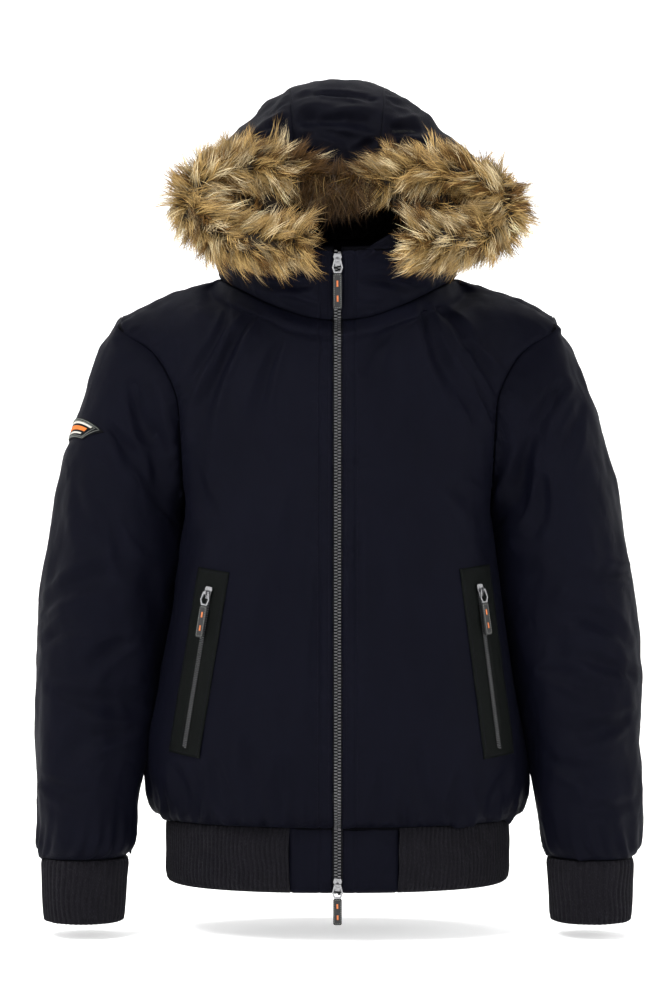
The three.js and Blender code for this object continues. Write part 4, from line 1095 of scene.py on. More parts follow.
def make_collar(name, sign):
    rows = np.concatenate([
        np.interp(ZIP_COLUMNS, [0, 30], [0, 1.0]), np.linspace(1.03, NECK_SHOULDER, 46)])
    f = np.concatenate([COLLAR_FOOT, np.linspace(0.09, 0.95, 26), [0.975, 0.99, 1]])
    grid = collar_points(rows, f)
    normals, u, v, from_edge, from_top = measured(grid)
    seed = 81 if sign > 0 else 87
    relief = soft_relief(grid * [sign, 1, 1], seed, 0.8) * smoothstep(u, 4, 46)
    relief -= creases(grid, COLLAR_CREASES[name])
    relief *= calm(from_edge, v)
    relief += rolled(u, 1.4, 2.0) + rolled(from_edge) + rolled(from_top, 2.0, 2.6)
    relief += rolled(v, 0.8)
    relief += placket_lines(u)
    relief += 0.6 * pucker(u, v, 15, 12, seed + 5)
    outer = grid + normals * relief[..., None]
    sew(f"collar_{name}_cloth", handed(outer, sign), NAVY,
        f"collar_{name}", bound=f"collar_{name}_seams", sign=sign,
        seams=[(grid[:, -1], normals[:, -1], False), (grid[-1], normals[-1], False),
               (grid[0], normals[0], False)])


def make_collar_back():
    rows = np.linspace(-NECK_SHOULDER, NECK_SHOULDER, 111)
    f = np.concatenate([COLLAR_FOOT, np.linspace(0.09, 0.93, 20), [0.965, 0.985, 1]])
    grid = collar_points(2.0 * NECK_SHOULDER - np.abs(rows), f)
    grid[:, rows > 0, 0] *= -1
    normals, u, v, from_edge, from_top = measured(grid)
    to_side = np.minimum(u, from_edge)
    relief = soft_relief(grid, 93, 0.8) * calm(to_side, v)
    relief += rolled(to_side) + rolled(from_top) + rolled(v, 0.8)
    relief += 0.6 * pucker(u, v, 15, 12, 95)
    sew("collar_back_cloth", grid + normals * relief[..., None], NAVY,
        "collar_back", bound="collar_back_seams",
        seams=[(grid[-1], normals[-1], False), (grid[0], normals[0], False)])


# Creases of the hood, seen from the front over both sides.
HOOD_CREASES = [
    (-74, 187, -8, 190, 3, 8, 4.4),
    (-14, 190, 50, 186, 2, 8, 4.0),
    (44, 187, 66, 181, -2, 6, 3.4),
    (62, 181, 108, 184, 2, 8, 3.8),
    (-60, 160, -24, 150, -3, 7, 2.6),
    (20, 158, 70, 166, 3, 7, 2.4),
    (84, 206, 118, 168, 4, 8, 2.4),
    (-104, 176, -78, 206, 4, 8, 2.4),
    (-30, 176, 12, 172, 2, 6, 1.8),
]
HOOD_BAND = [(-64, 208, -24, 220, 3, 3.2, 1.8), (-24, 220, 36, 216, 2, 3.2, 1.9),
             (36, 216, 80, 211, 1, 3.2, 1.7)]


def hood_creases(seen):
    """Creases over the front half of the hood."""
    facing = smoothstep(60 - seen[..., 1], 0, 60)
    return creases(seen, HOOD_CREASES, facing) + creases(seen, HOOD_BAND, facing)


def make_hood_side(name, sign):
    grid = hood_side_points(np.linspace(0, 1, 92), np.linspace(0, 1, 84), FACE_SPREAD[name])
    normals, u, v, from_edge, from_top = measured(grid)
    seed = 101 if sign > 0 else 107
    seen = grid * [sign, 1, 1]
    relief = soft_relief(seen, seed, 1.1)
    relief -= hood_creases(seen)
    relief *= calm(from_edge, v, from_top)
    for away in (u, from_edge, v):
        relief += rolled(away, 0.9, 1.8)
    relief += rolled(from_top, 0.4, 1.2)
    relief += 0.7 * pucker(u, from_top, 15, 12, seed + 5)
    relief += 0.7 * pucker(u, v, 15, 12, seed + 6)
    outer = handed(grid + normals * relief[..., None], sign)
    sew(f"hood_{name}_cloth", outer, LIT_HOOD_NAVY,
        f"hood_{name}")


def make_hood_centre():
    grid = hood_centre_points(np.linspace(-1, 1, 45), np.linspace(0, len(CROWN_SEAM), 160))
    normals, u, v, from_edge, from_top = measured(grid)
    relief = soft_relief(grid, 113, 0.9)
    relief -= hood_creases(grid)
    to_side = np.minimum(u, from_edge)
    relief *= calm(to_side, from_top)
    relief += rolled(to_side, 0.4, 1.2) + rolled(v) + rolled(from_top)
    sew("hood_centre_cloth", grid + normals * relief[..., None], LIT_HOOD_NAVY,
        "hood_centre")


def make_linings():
    grids = {"centre": hood_centre_points(np.linspace(-1, 1, 25), np.linspace(0.7, 8, 90))}
    for name, sign in SIDES:
        side = hood_side_points(np.linspace(0.29, 1, 40), np.linspace(0, 1, 50),
                                FACE_SPREAD[name])
        grids[name] = handed(side, sign)
    for name, grid in grids.items():
        normals, u, v, from_edge, _ = measured(grid)
        from_brim = {"centre": v, "left": u, "right": from_edge}[name]
        relief = -(SHELL + 1.2 + 8 * smoothstep(from_brim, 3, 30))
        relief += 0.5 * waves(grid, (14, 14, 14), 24, 121)
        sew(f"hood_fleece_{name}", grid + normals * relief[..., None], FLEECE,
            f"hood_lining_{name}", wall=1.0, step=2)


# ---------------------------------------------------------------- ribbed knit

# Columns of each rib.
RIB_SAMPLES = 7


def even_places(curve, start, end, count):
    fine = np.linspace(start, end, 6 * count)
    run = run_along(curve(fine))
    return np.interp(np.linspace(0, run[-1], count + 1), run, fine)


def knit_rows(rows, count):
    """Sections of a knitted band from its folded edge to its seam, closer at both."""
    heights = np.concatenate([[0, 0.02, 0.05, 0.09], np.linspace(0.13, 0.96, count), [0.98, 1]])
    return row_at(rows, np.interp(heights, [0, 0.13, 1], [0, 1, 2]))


def ribbed(grid, closed, ribs, seed):
    """Rounded ribs that sway a little, with the folded edge and the seam turned in."""
    normals, _, v, _, from_top = measured(grid, closed)
    columns = grid.shape[1]
    column = np.arange(columns) / columns if closed else np.arange(columns) / (columns - 1)
    phase = column[None] * ribs * 2 * math.pi
    sway = 1.3 * waves(grid, (90, 90, 50), 20, seed)
    profile = np.abs(np.cos(0.5 * (phase + sway))) ** 0.7
    relief = 1.9 * profile - 0.4 + 0.35 * waves(grid, (26, 26, 40), 24, seed + 1)
    relief *= smoothstep(v, 0, 3) * 0.9 + 0.1
    relief += rolled(from_top, 1.8, 3.0) + rolled(v, 1.6, 2.2)
    return grid + normals * relief[..., None]


def make_hem_rib():
    def tab_place(width):
        return math.asin((width - ZIP_HALF) / (BAND[1][0] - ZIP_HALF)) * 2 / math.pi

    ends = (tab_place(HEM_TAB["left"]), 4 - tab_place(HEM_TAB["right"]))
    rows = knit_rows(BAND, 14)
    places = even_places(lambda p: band_points(BAND[1:2], p)[0], *ends, HEM_RIBS * RIB_SAMPLES)
    outer = ribbed(band_points(rows, places), False, HEM_RIBS, 131)
    around = band_points(BAND[1:], np.linspace(0, 4, 100))
    sew("hem_rib_knit", outer, RIB_KNIT, "hem_rib",
        wall=RIB_WALL, step=4, bound="hem_rib_seam",
        seams=[(around[-1], normals_of(around)[-1], False)])
    for name, start, end, middle in (("left", 0, ends[0], ends[0]), ("right", ends[1], 4, ends[1])):
        grid = band_points(rows, np.linspace(start, end, 40))
        normals, u, v, from_edge, from_top = measured(grid)
        relief = soft_relief(grid, 141, 0.7) * smoothstep(v, 0, 8)
        by_zip, by_rib = (u, from_edge) if name == "left" else (from_edge, u)
        relief += rolled(by_zip, 1.4, 2.0) + rolled(by_rib, 1.2) + rolled(v, 1.5, 2.2)
        relief += rolled(from_top) + 0.6 * pucker(v, by_rib, 12, 12, 143)
        relief += 0.8 * pucker(u, from_top, 13, 14, 145) * smoothstep(by_zip, 14, 22)
        relief += rolled(np.abs(by_zip - PLACKET), 0.9, 1.1)
        sew(f"hem_tab_{name}_cloth", grid + normals * relief[..., None], NAVY,
            f"hem_tab_{name}")
        grid = band_points(rows, middle + np.linspace(-0.075, 0.075, 7))
        inner = grid - normals_of(grid) * (SHELL + 0.9)
        # Near-black strip behind the tab's seam: painted shade that closes the gap.
        sew(f"hem_seam_{name}", inner, SHADE_BINDING,
            wall=0.8, step=2)


def make_cuff(name, sign):
    def ring(places, row):
        angle = math.pi * places
        return np.stack([
            (row[0] + row[1]) / 2 + (row[0] - row[1]) / 2 * np.sin(angle),
            row[3] - row[4] * np.cos(angle),
            np.full_like(angle, row[2]),
        ], -1)

    places = even_places(lambda p: ring(p, CUFF[1]), 0, 2, CUFF_RIBS * RIB_SAMPLES)[:-1]
    grid = np.array([ring(places, row) for row in knit_rows(CUFF, 15)])
    outer = handed(ribbed(grid, True, CUFF_RIBS, 151 if sign > 0 else 157), sign)
    plain = grid[:, ::RIB_SAMPLES]
    sew(f"cuff_{name}_knit", outer, RIB_KNIT,
        f"cuff_{name}", wall=RIB_WALL,
        closed=True, step=4, bound=f"cuff_{name}_seam", sign=sign,
        seams=[(plain[-1], normals_of(plain, True)[-1], True)])


# ---------------------------------------------------------------- fur

# Locks of each roll, which its clumps of fibres follow.
LOCKS = 430
# Colours from root to tip. The dark root colour is partly the fibres' darker base and partly
# painted shade deep in the pile; the palest tip colours are partly pale fibres and partly painted
# highlight.
FIBRE_TONES = {
    "golden": ((0.024, 0.013, 0.004), (0.36, 0.210, 0.054), (0.66, 0.460, 0.185),
               (0.28, 0.135, 0.03)),
    "straw_and_highlight": ((0.036, 0.023, 0.009), (0.50, 0.345, 0.125), (0.96, 0.800, 0.500),
              (0.88, 0.66, 0.36)),
    "brown": ((0.008, 0.004, 0.001), (0.090, 0.041, 0.009), (0.20, 0.100, 0.024),
              (0.05, 0.021, 0.005)),
    "grey": ((0.018, 0.015, 0.009), (0.17, 0.132, 0.072), (0.50, 0.380, 0.200),
             (0.27, 0.16, 0.055)),
}
TONE_SHARES = {"golden": 0.56, "straw_and_highlight": 0.21, "brown": 0.09, "grey": 0.14}
# Clumps, fibres in each, bends, thickness, length and looseness of the fur's two layers.
FUR_LAYERS = {
    "under": (620, 20, 3, 0.62, 0.72, 1.8,
              {"golden": 0.3, "straw_and_highlight": 0.03, "brown": 0.42, "grey": 0.25}),
    "guard": (1000, 20, 4, 0.5, 1.0, 1.0, TONE_SHARES),
}


def fur_frames(rows, t):
    """Centre, along, side and depth of the roll at places t, and its reach."""
    at = row_at(rows, t)
    ahead = row_at(rows, np.minimum(t + 0.05, len(rows) - 1))[..., :3]
    behind = row_at(rows, np.maximum(t - 0.05, 0))[..., :3]
    along = unit(ahead - behind)
    out = unit(np.cross(along, [0, 1, 0]))
    front = unit(np.cross(out, along))
    front = np.where(front[..., 1:2] > 0, -front, front)
    return at[..., :3], along, out, front, at[..., 3]


def painted_shade_pile(name, mesh, colour):
    """Fur of one dark colour under the long fibres, partly painted shade deep in the pile."""
    fix_outside(mesh)
    paint(mesh, np.tile([*colour, 1.0], (len(mesh.vertices), 1)))
    new_object(name, mesh, FUR_PILE, "jacket", None)


def fur_core(name, sign):
    """Short dark pile and backing under the long fibres: the underfur's dark colour and painted
    shade inside the roll.
    """
    rows = FUR[name]
    t = np.linspace(0.15, len(rows) - 1, 60)
    centre, _, out, front, reach = fur_frames(rows, t)
    angle = np.linspace(0, 2 * math.pi, 37)[:-1]
    lump = 1 + 0.12 * waves(np.stack(np.meshgrid(t * 20, angle * 14, [0]), -1)[:, :, 0]
                            .transpose(1, 0, 2), (18, 18, 18), 20, 161)
    radius = (0.44 * reach * np.sqrt(np.clip((t - 0.1) / 0.35, 0.05, 1)))[:, None] * lump
    ring = centre[:, None] + radius[..., None] * (
        front[:, None] * np.cos(angle)[None, :, None] + out[:, None] * np.sin(angle)[None, :, None])
    faces = []
    add_tube(faces, 0, len(angle), len(t))
    mesh = mesh_from(f"fur_backing_{name}", ring.reshape(-1, 3) * [sign, 1, 1], faces)
    # Near-black brown: the underfur's colour and painted shade inside the roll.
    painted_shade_pile(f"fur_backing_{name}", mesh, (0.016, 0.010, 0.005))


def web_point(rows, q, w):
    """A point of the web between the roll's two arms, q along them and w from low to high."""
    low = row_at(rows, lerp(0.5, 3.0, q))[..., :3]
    high = row_at(rows, lerp(6.1, 3.0, q))[..., :3]
    point = low + (high - low) * w[..., None]
    point[..., 1] += 10 * np.sin(math.pi * w)
    return point


def painted_shade_web(name, sign):
    """Dark short fur that fills the roll between its two arms: painted shade in the mouth of the
    hood.
    """
    rows = FUR[name]
    q, w = np.meshgrid(np.linspace(0, 0.97, 22), np.linspace(0.04, 0.96, 16))
    grid = web_point(rows, q, w)
    grid = grid + normals_of(grid) * (1.2 * waves(grid, (16, 16, 16), 20, 165))[..., None]
    mesh = shell_mesh(f"painted_shade_web_{name}", handed(grid, sign), 4.0, step=1)
    # Near-black: painted shade between the roll's arms.
    painted_shade_pile(f"painted_shade_web_{name}", mesh, (0.012, 0.007, 0.003))
    rng = np.random.default_rng(205 if sign > 0 else 206)
    n, m = 180, 14
    total = n * m
    root = web_point(rows, rng.uniform(0, 0.95, n), rng.uniform(0.05, 0.95, n))
    face = np.where(np.arange(n) % 2 == 0, -1.0, 1.0)
    start = unit(np.stack([rng.normal(0, 0.4, n), face, rng.normal(0, 0.4, n)], -1))
    finish = unit(np.stack([rng.normal(0, 0.8, n), face * 0.7, rng.normal(-0.2, 0.8, n)], -1))
    clump = np.repeat(np.arange(n), m)
    spread = rng.normal(0, 1, (total, 3)) * [3.6, 1.2, 3.6]
    grown = rng.uniform(16, 30, n)[clump] * rng.uniform(0.6, 1.05, total)
    stray = rng.normal(0, 0.12, (total, 3))
    paths = []
    for f in np.linspace(0, 1, 4):
        bend = start[clump] * f + (finish - start)[clump] * (f * f / 1.5) + stray * f * f
        paths.append(root[clump] + spread * (1 - 0.6 * f) + bend * grown[:, None])
    tone = rng.choice(3, n, p=[0.5, 0.3, 0.2])
    tones = np.array([FIBRE_TONES[k] for k in ("brown", "grey", "golden")])
    # Fibres dimmed to about three quarters: painted shade in the hollow.
    shade = rng.normal(0.75, 0.18, (n, 1))[clump] * rng.normal(1, 0.2, (total, 1))
    mesh = fibre_mesh(f"painted_shade_web_{name}_fibres", np.array(paths) * [sign, 1, 1],
                      rng.uniform(0.45, 0.8, total), tones[tone][clump], np.clip(shade, 0.2, None))
    new_object(f"painted_shade_web_{name}_fibres", mesh, FUR_PILE, "jacket", None)


def paint(mesh, colours):
    layer = mesh.color_attributes.new("fibre", "FLOAT_COLOR", "POINT")
    layer.data.foreach_set("color", np.asarray(colours, np.float32).ravel())


def fibre_mesh(name, paths, widths, stops, shade):
    """Flat tapered fibres along paths (steps x fibres x 3), coloured from root to tip."""
    rng = np.random.default_rng(len(widths))
    count, total = len(paths), paths.shape[1]
    tangent = unit(np.gradient(paths, axis=0))
    toward = unit(rng.normal(0, 1, (total, 3)) + [0, -1.6, 0])
    flat = unit(np.cross(tangent, toward[None]))
    taper = np.interp(np.linspace(0, 1, count)[:-1], [0, 0.3, 0.7, 1], [0.85, 1, 0.75, 0.3])
    half = flat[:-1] * (taper[:, None] * widths[None] / 2)[..., None]
    sides = np.stack([paths[:-1] + half, paths[:-1] - half], 2).transpose(1, 0, 2, 3)
    points = np.concatenate([sides.reshape(total, -1, 3), paths[-1][:, None]], 1)
    per = points.shape[1]
    base = (np.arange(total) * per)[:, None]
    quads = [base + np.array([2 * i, 2 * i + 1, 2 * i + 3, 2 * i + 2]) for i in range(count - 2)]
    tips = base + np.array([per - 3, per - 2, per - 1])
    mesh = mesh_from(name, points.reshape(-1, 3), np.concatenate(quads).tolist() + tips.tolist())
    colours = np.ones((total, per, 4))
    steps = np.linspace(0, 1, count)
    for i, f in enumerate(np.concatenate([np.repeat(steps[:-1], 2), [1.0]])):
        k = min(int(np.searchsorted([0.3, 0.68], f)), 2)
        low, high = ((0, 0.3), (0.3, 0.68), (0.68, 1))[k]
        mix = lerp(stops[:, k], stops[:, k + 1], (f - low) / (high - low))
        colours[:, i, :3] = np.clip(mix * shade, 0, 1)
    paint(mesh, colours.reshape(-1, 4))
    return mesh


def fur_fibres(name, sign, layer, seed):
    """Locks of fibres that part along the front of the roll, flow together and end in points."""
    clumps, per_clump, bends, thick, size, loose, shares = FUR_LAYERS[layer]
    rng = np.random.default_rng(seed)
    rows = FUR[name]
    last = len(rows) - 1

    def radial(front, out, a):
        return front * np.cos(a)[:, None] + out * np.sin(a)[:, None]

    def turning(front, out, a):
        return -front * np.sin(a)[:, None] + out * np.cos(a)[:, None]

    lock_t = (np.arange(LOCKS) + rng.uniform(0, 1, LOCKS)) / LOCKS * last
    lock_angle = (np.arange(LOCKS) * 2.39996 + rng.normal(0, 0.3, LOCKS)) % (2 * math.pi) - math.pi
    centre, along, out, front, reach = fur_frames(rows, lock_t)
    lock_root = centre + radial(front, out, lock_angle) * (0.34 * reach)[:, None]
    drift = waves(lock_root, (70, 70, 70), 20, 301)
    drift2 = waves(lock_root, (50, 50, 50), 20, 302)
    side = np.tanh((lock_angle + 0.3 * drift) / 0.55)
    bundle = lock_t / last
    lean = lerp(-0.8, 0.75, smoothstep(bundle, 0.2, 0.72)) + 0.4 * drift2
    lean += rng.normal(0, 0.14 * loose, LOCKS)
    lean *= 1 - smoothstep(bundle, 0.9, 1.0)
    away = radial(front, out, lock_angle)
    round_ = turning(front, out, lock_angle)
    start = unit(away * 0.95 + round_ * (0.45 * side)[:, None] + along * (0.3 * lean)[:, None]
                 + rng.normal(0, 0.09 * loose, (LOCKS, 3)))
    finish = unit(away * 0.36 + round_ * (0.95 * side)[:, None] + along * (0.9 * lean)[:, None]
                  + [0, 0, -0.12] + rng.normal(0, 0.15 * loose, (LOCKS, 3)))
    longer = lerp(1.25, 1, smoothstep(lock_t, 0, 0.7))
    length = size * reach * rng.uniform(0.88, 1.22, LOCKS) * longer
    names = list(FIBRE_TONES)
    odds = [shares[k] for k in names]
    tone = rng.choice(len(names), LOCKS, p=odds)

    t = rng.uniform(0, 1, clumps) ** 0.97 * last
    angle = rng.uniform(-math.pi, math.pi, clumps)
    centre, _, out, front, reach = fur_frames(rows, t)
    outward = radial(front, out, angle)
    root = centre + outward * (0.33 * reach)[:, None]
    lock = np.empty(clumps, int)
    for first in range(0, clumps, 100):
        part = slice(first, first + 100)
        far = ((root[part, None] - lock_root[None]) ** 2).sum(-1)
        far += (1 - (outward[part, None] * away[None]).sum(-1)) * 160
        lock[part] = far.argmin(1)
    other = rng.choice(len(names), clumps, p=odds)
    clump_tone = np.where(rng.uniform(0, 1, clumps) < 0.4, tone[lock], other)
    # Clumps near the middle end of the roll, in the mouth of the hood, turn brown and are dimmed
    # further down: painted shade.
    middle = smoothstep(t / last, 0.8, 0.93)
    clump_tone = np.where(rng.uniform(0, 1, clumps) < middle, names.index("brown"), clump_tone)
    tones = np.array([FIBRE_TONES[k] for k in names])

    total = clumps * per_clump
    clump = np.repeat(np.arange(clumps), per_clump)
    own = lock[clump]
    spread = rng.normal(0, 1, (total, 3)) * 3.9
    spread -= outward[clump] * (spread * outward[clump]).sum(1, keepdims=True) * 0.6
    hold = rng.uniform(0.5, 0.95, total)
    grown = length[own] * rng.uniform(0.55, 1.05, total) * rng.uniform(0.88, 1.1, clumps)[clump]
    stray = (rng.normal(0, 0.08, (total, 3)) + rng.normal(0, 0.1, (clumps, 3))[clump]) * loose
    gathered = (lock_root[lock] - root)[clump] * 0.35
    wave = rng.normal(0, 1, (clumps, 3))[clump]
    paths = []
    for f in np.linspace(0, 1, bends + 1):
        bend = start[own] * f + (finish - start)[own] * (f * f / 1.6) + stray * f * f
        curl = wave * (1.1 * math.sin(2.2 * math.pi * f) * f)
        paths.append(root[clump] + spread * (1 - hold * f ** 1.15)[:, None]
                     + gathered * f ** 1.4 + bend * grown[:, None] + curl)
    shade = rng.normal(0.78, 0.08, (LOCKS, 1))[own] * rng.normal(1, 0.12, (clumps, 1))[clump]
    # Painted shade: fibres near the middle end of the roll are dimmed to about half.
    shade = shade * rng.normal(1, 0.25, (total, 1)) * lerp(1, 0.55, middle[clump])[:, None]
    mesh = fibre_mesh(f"fur_{name}_{layer}", np.array(paths) * [sign, 1, 1],
                      thick * rng.uniform(0.7, 1.3, total), tones[clump_tone][clump], shade)
    new_object(f"fur_{name}_{layer}", mesh, FUR_PILE, "jacket", f"fur_{name}")


def fur_middle():
    """Tangled fur that hangs from the middle of the brim over the mouth of the hood, dimmed as
    painted shade, most at its lower roots.
    """
    rng = np.random.default_rng(207)
    n, m = 210, 18
    total = n * m
    x = rng.uniform(-29, 27, n)
    lift = rng.uniform(0, 1, n)
    root = np.stack([x, -97 + 9 * rng.uniform(-1, 1, n), 100 + 0.3 * np.abs(x) + 24 * lift], -1)
    start = unit(np.stack([rng.normal(0, 0.35, n), -0.5 - 0.5 * rng.uniform(0, 1, n),
                           0.25 - 0.8 * lift + rng.normal(0, 0.2, n)], -1))
    finish = unit(np.stack([-0.006 * x + rng.normal(0, 0.5, n), -0.12 + rng.normal(0, 0.22, n),
                            np.full(n, -1.0)], -1))
    length = rng.uniform(26, 56, n)
    clump = np.repeat(np.arange(n), m)
    spread = rng.normal(0, 1, (total, 3)) * [4.4, 2.0, 3.2]
    hold = rng.uniform(0.3, 0.85, total)
    grown = length[clump] * rng.uniform(0.5, 1.05, total)
    stray = rng.normal(0, 0.16, (total, 3))
    paths = []
    for f in np.linspace(0, 1, 5):
        bend = start[clump] * f + (finish - start)[clump] * (f * f / 1.5) + stray * f * f
        paths.append(root[clump] + spread * (1 - hold * f ** 1.15)[:, None]
                     + bend * grown[:, None])
    # Brown and golden colours cut to about a third: painted shade in the mouth of the hood.
    stops = np.tile(np.array(FIBRE_TONES["brown"])[None] * 0.36, (total, 1, 1))
    golden = rng.uniform(0, 1, total) < 0.07 + 0.2 * smoothstep(lift, 0.5, 1.0)[clump]
    stops[golden] = np.array(FIBRE_TONES["golden"]) * 0.3
    shade = rng.normal(1, 0.3, (n, 1))[clump] * rng.normal(1, 0.2, (total, 1))
    # Clumps with lower roots are darker: painted shade deeper in the hood's mouth.
    shade = np.clip(shade, 0.3, None) * lerp(0.6, 1.1, lift[clump])[:, None]
    mesh = fibre_mesh("fur_middle_fibres", np.array(paths), rng.uniform(0.4, 0.75, total), stops,
                      shade)
    new_object("fur_middle_fibres", mesh, FUR_PILE, "jacket", None)


# ---------------------------------------------------------------- zips

TOOTH_PITCH = 3.3
# Half the width of the tape that shows between the plackets.
TAPE_HALF = 5.4


def front_line():
    """The zip's line from the hem to the collar's top, at x 0."""
    band = band_points(BAND, np.array([0.0]))[:, 0]
    body = panel_points("front", np.array([0.0]), np.linspace(0, PANEL_TOP, 120))[1:, 0]
    collar = collar_points(np.array([0.0]), np.linspace(0, 1, 14)[1:])[:, 0]
    return np.concatenate([band, body, collar]) * [0, 1, 1]


def resampled(line, spacing):
    run = run_along(line)
    return at_places(np.arange(0, run[-1], spacing), run, line)


def tooth_row(name, line, across, out, side, size, node):
    """Bevelled teeth along a line, on one side of the zip."""
    half_width, half_height, depth = size
    along = unit(np.gradient(line, axis=0))
    points, faces = [], []
    for i in range(0 if side > 0 else 1, len(line), 2):
        a, o, l = across[i] * side, out[i], along[i]
        origin = line[i] + a * half_width * 1.05
        add_tube(faces, len(points), 6, 3)
        for depth_share, shrink in ((-0.5, 1.0), (0.7, 1.0), (1.0, 0.7)):
            for x, z in ((-1, -0.55), (-0.45, -1), (1, -1), (1, 1), (-0.45, 1), (-1, 0.55)):
                points.append(origin + a * x * half_width * shrink + l * z * half_height * shrink
                              + o * depth_share * depth)
    mesh = mesh_from(name, points, faces, smooth=False)
    solid(name, mesh, TEETH, "jacket", node)


def make_front_zip():
    line = resampled(front_line(), TOOTH_PITCH / 2)
    along = unit(np.gradient(line, axis=0))
    across = np.tile([1.0, 0, 0], (len(line), 1))
    out = unit(np.cross(across, along))
    for name, side in SIDES:
        tooth_row(f"zip_teeth_{name}_row", line + out * 0.2, across, out, side,
                  (1.7, 0.85, 1.1), f"zip_teeth_{name}")
    columns = np.linspace(-TAPE_HALF, TAPE_HALF, 7)
    lift = 0.12 * np.cos(columns / TAPE_HALF * 1.2) - 1.3
    grid = (line[::2, None] + across[::2, None] * columns[None, :, None]
            + out[::2, None] * lift[None, :, None])
    mesh = shell_mesh("zip_tape_front", grid, 0.8, step=2)
    solid("zip_tape_front", mesh, TAPE, "jacket", None)


def front_surface():
    """Interpolator of a front's plain surface: place and normal at width x and height z."""
    s = np.linspace(0, 1, 121)
    t = np.linspace(0, ARMPIT, 241)
    grid = panel_points("front", s, t)
    normals = normals_of(grid)
    heights = grid[:, 0, 2]

    def at(x, z):
        row = np.interp(z, heights, np.arange(len(heights)))
        k = int(min(row, len(heights) - 2))
        f = row - k
        line = lerp(grid[k], grid[k + 1], f)
        facing = unit(lerp(normals[k], normals[k + 1], f))
        return at_places(x, line[:, 0], line), unit(at_places(x, line[:, 0], facing))

    return at


PLAIN_FRONT = front_surface()


def pocket_point(name, along, across, lift):
    top_x, top_z, down, length = pocket_line(name)
    x = top_x + down[0] * length * along - down[1] * across
    z = top_z + down[1] * length * along + down[0] * across
    place, normal = PLAIN_FRONT(x, z)
    return place + normal * lift, normal


def run_of(found, sign=1):
    """Places and normals that were found one by one, as a line and its outward directions."""
    return tuple(np.array(column) * [sign, 1, 1] for column in zip(*found))


def make_pocket(name, sign):
    columns = np.linspace(-WELT_HALF, WELT_HALF, 21)
    grid = np.array([[pocket_point(name, a, c, 0)[0] for c in columns]
                     for a in np.linspace(1, 0, 86)])
    normals, u, v, from_edge, from_top = measured(grid)
    edge = np.minimum(np.minimum(u, from_edge), np.minimum(v, from_top))
    from_zip = np.abs(columns)[None]
    open_part = smoothstep(v, 8, 12) * smoothstep(from_top, 16, 20)
    relief = 2.3 + rolled(edge, 1.3, 1.5) + rolled(np.abs(edge - 3), 0.3, 0.7)
    relief += -0.75 * np.exp(-(from_zip / 3.2) ** 4) * open_part
    relief += 0.5 * np.exp(-((from_zip - 4.6) / 1.3) ** 2) * open_part
    relief += 0.3 * waves(grid, (16, 16, 26), 24, 171 if sign > 0 else 177)
    relief += 0.25 * pucker(v, edge, 11, 7, 173)
    sew(f"pocket_welt_{name}_cloth", handed(grid + normals * relief[..., None], sign),
        WELT_CLOTH, f"pocket_welt_{name}",
        wall=1.2, step=2)
    count = int(0.86 * pocket_line(name)[3] / 1.25)
    line, out = run_of([pocket_point(name, a, 0, 2.1) for a in np.linspace(0.955, 0.1, count)],
                       sign)
    across = unit(np.cross(unit(np.gradient(line, axis=0)), out))
    for half_name, side in (("outer", 1), ("inner", -1)):
        tooth_row(f"pocket_teeth_{name}_{half_name}", line, across, out, side,
                  (1.15, 0.6, 0.8), f"pocket_zip_{name}" if side > 0 else None)


# ---------------------------------------------------------------- stitches

# Size and lift of a stitch's rings, in radii of its thread.
STITCH_RINGS = ((0.35, -0.8), (1.0, 0.35), (1.0, 0.35), (0.35, -0.8))


def stitch_mesh(name, runs, pitch, radius, mat, body="jacket"):
    """Thread stitches along runs of points: each a short capsule that dips at its ends."""
    points, faces = [], []
    for line, out in runs:
        run = run_along(line)
        for start in np.arange(0, run[-1] - pitch, pitch):
            places = start + pitch * np.array([0.06, 0.3, 0.64, 0.9])
            middle = at_places(places, run, line)
            up = unit(at_places(places, run, out))
            side = unit(np.cross(unit(middle[-1] - middle[0]), up))
            add_tube(faces, len(points), 4, 4)
            for k, (size, lift) in enumerate(STITCH_RINGS):
                for angle in (0.25, 0.75, 1.25, 1.75):
                    a = angle * math.pi
                    points.append(middle[k] + up[k] * radius * (lift + size * math.sin(a))
                                  + side[k] * radius * size * math.cos(a))
    solid(name, mesh_from(name, points, faces), mat, body, None)


def column_run(x, sign, lift):
    """A line up the front at that distance from the zip's edge, from hem to shoulder."""
    grid = panel_points("front", np.linspace(0, 0.3, 120), np.linspace(0, PANEL_TOP, 160))
    u, _ = lengths_of(grid)
    line, out = (np.array([at_places(x, u[r], rows[r]) for r in range(len(rows))])
                 for rows in (grid, normals_of(grid)))
    return (line + out * lift) * [sign, 1, 1], out * [sign, 1, 1]


def make_stitches():
    runs = [column_run(x, sign, 0.1) for _, sign in SIDES for x in (EDGE_STITCH, PLACKET + 2.2)]
    stitch_mesh("placket_stitches", runs, 3.8, 0.24, NAVY_THREAD)
    runs = []
    inset = WELT_HALF - 3
    for name, sign in SIDES:
        lines_ = [[(a, across) for a in np.linspace(0.985, 0.015, 60)]
                  for across in (-inset, inset)]
        lines_ += [[(along, c) for c in np.linspace(-inset, inset, 16)]
                   for along in (0.015, 0.985)]
        runs += [run_of([pocket_point(name, a, c, 2.15) for a, c in line], sign)
                 for line in lines_]
    stitch_mesh("welt_stitches", runs, 3.0, 0.22, NAVY_THREAD)


# ---------------------------------------------------------------- hardware

def dress_cad(names, mat, bevel):
    for name in names:
        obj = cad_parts[name]
        obj.data.materials.clear()
        obj.data.materials.append(mat)
        weld = obj.modifiers.new("weld", "WELD")
        weld.merge_threshold = 1e-5
        soften = obj.modifiers.new("bevel", "BEVEL")
        soften.width = bevel * MM
        soften.segments = 3
        soften.limit_method = "ANGLE"
        soften.angle_limit = math.radians(35)


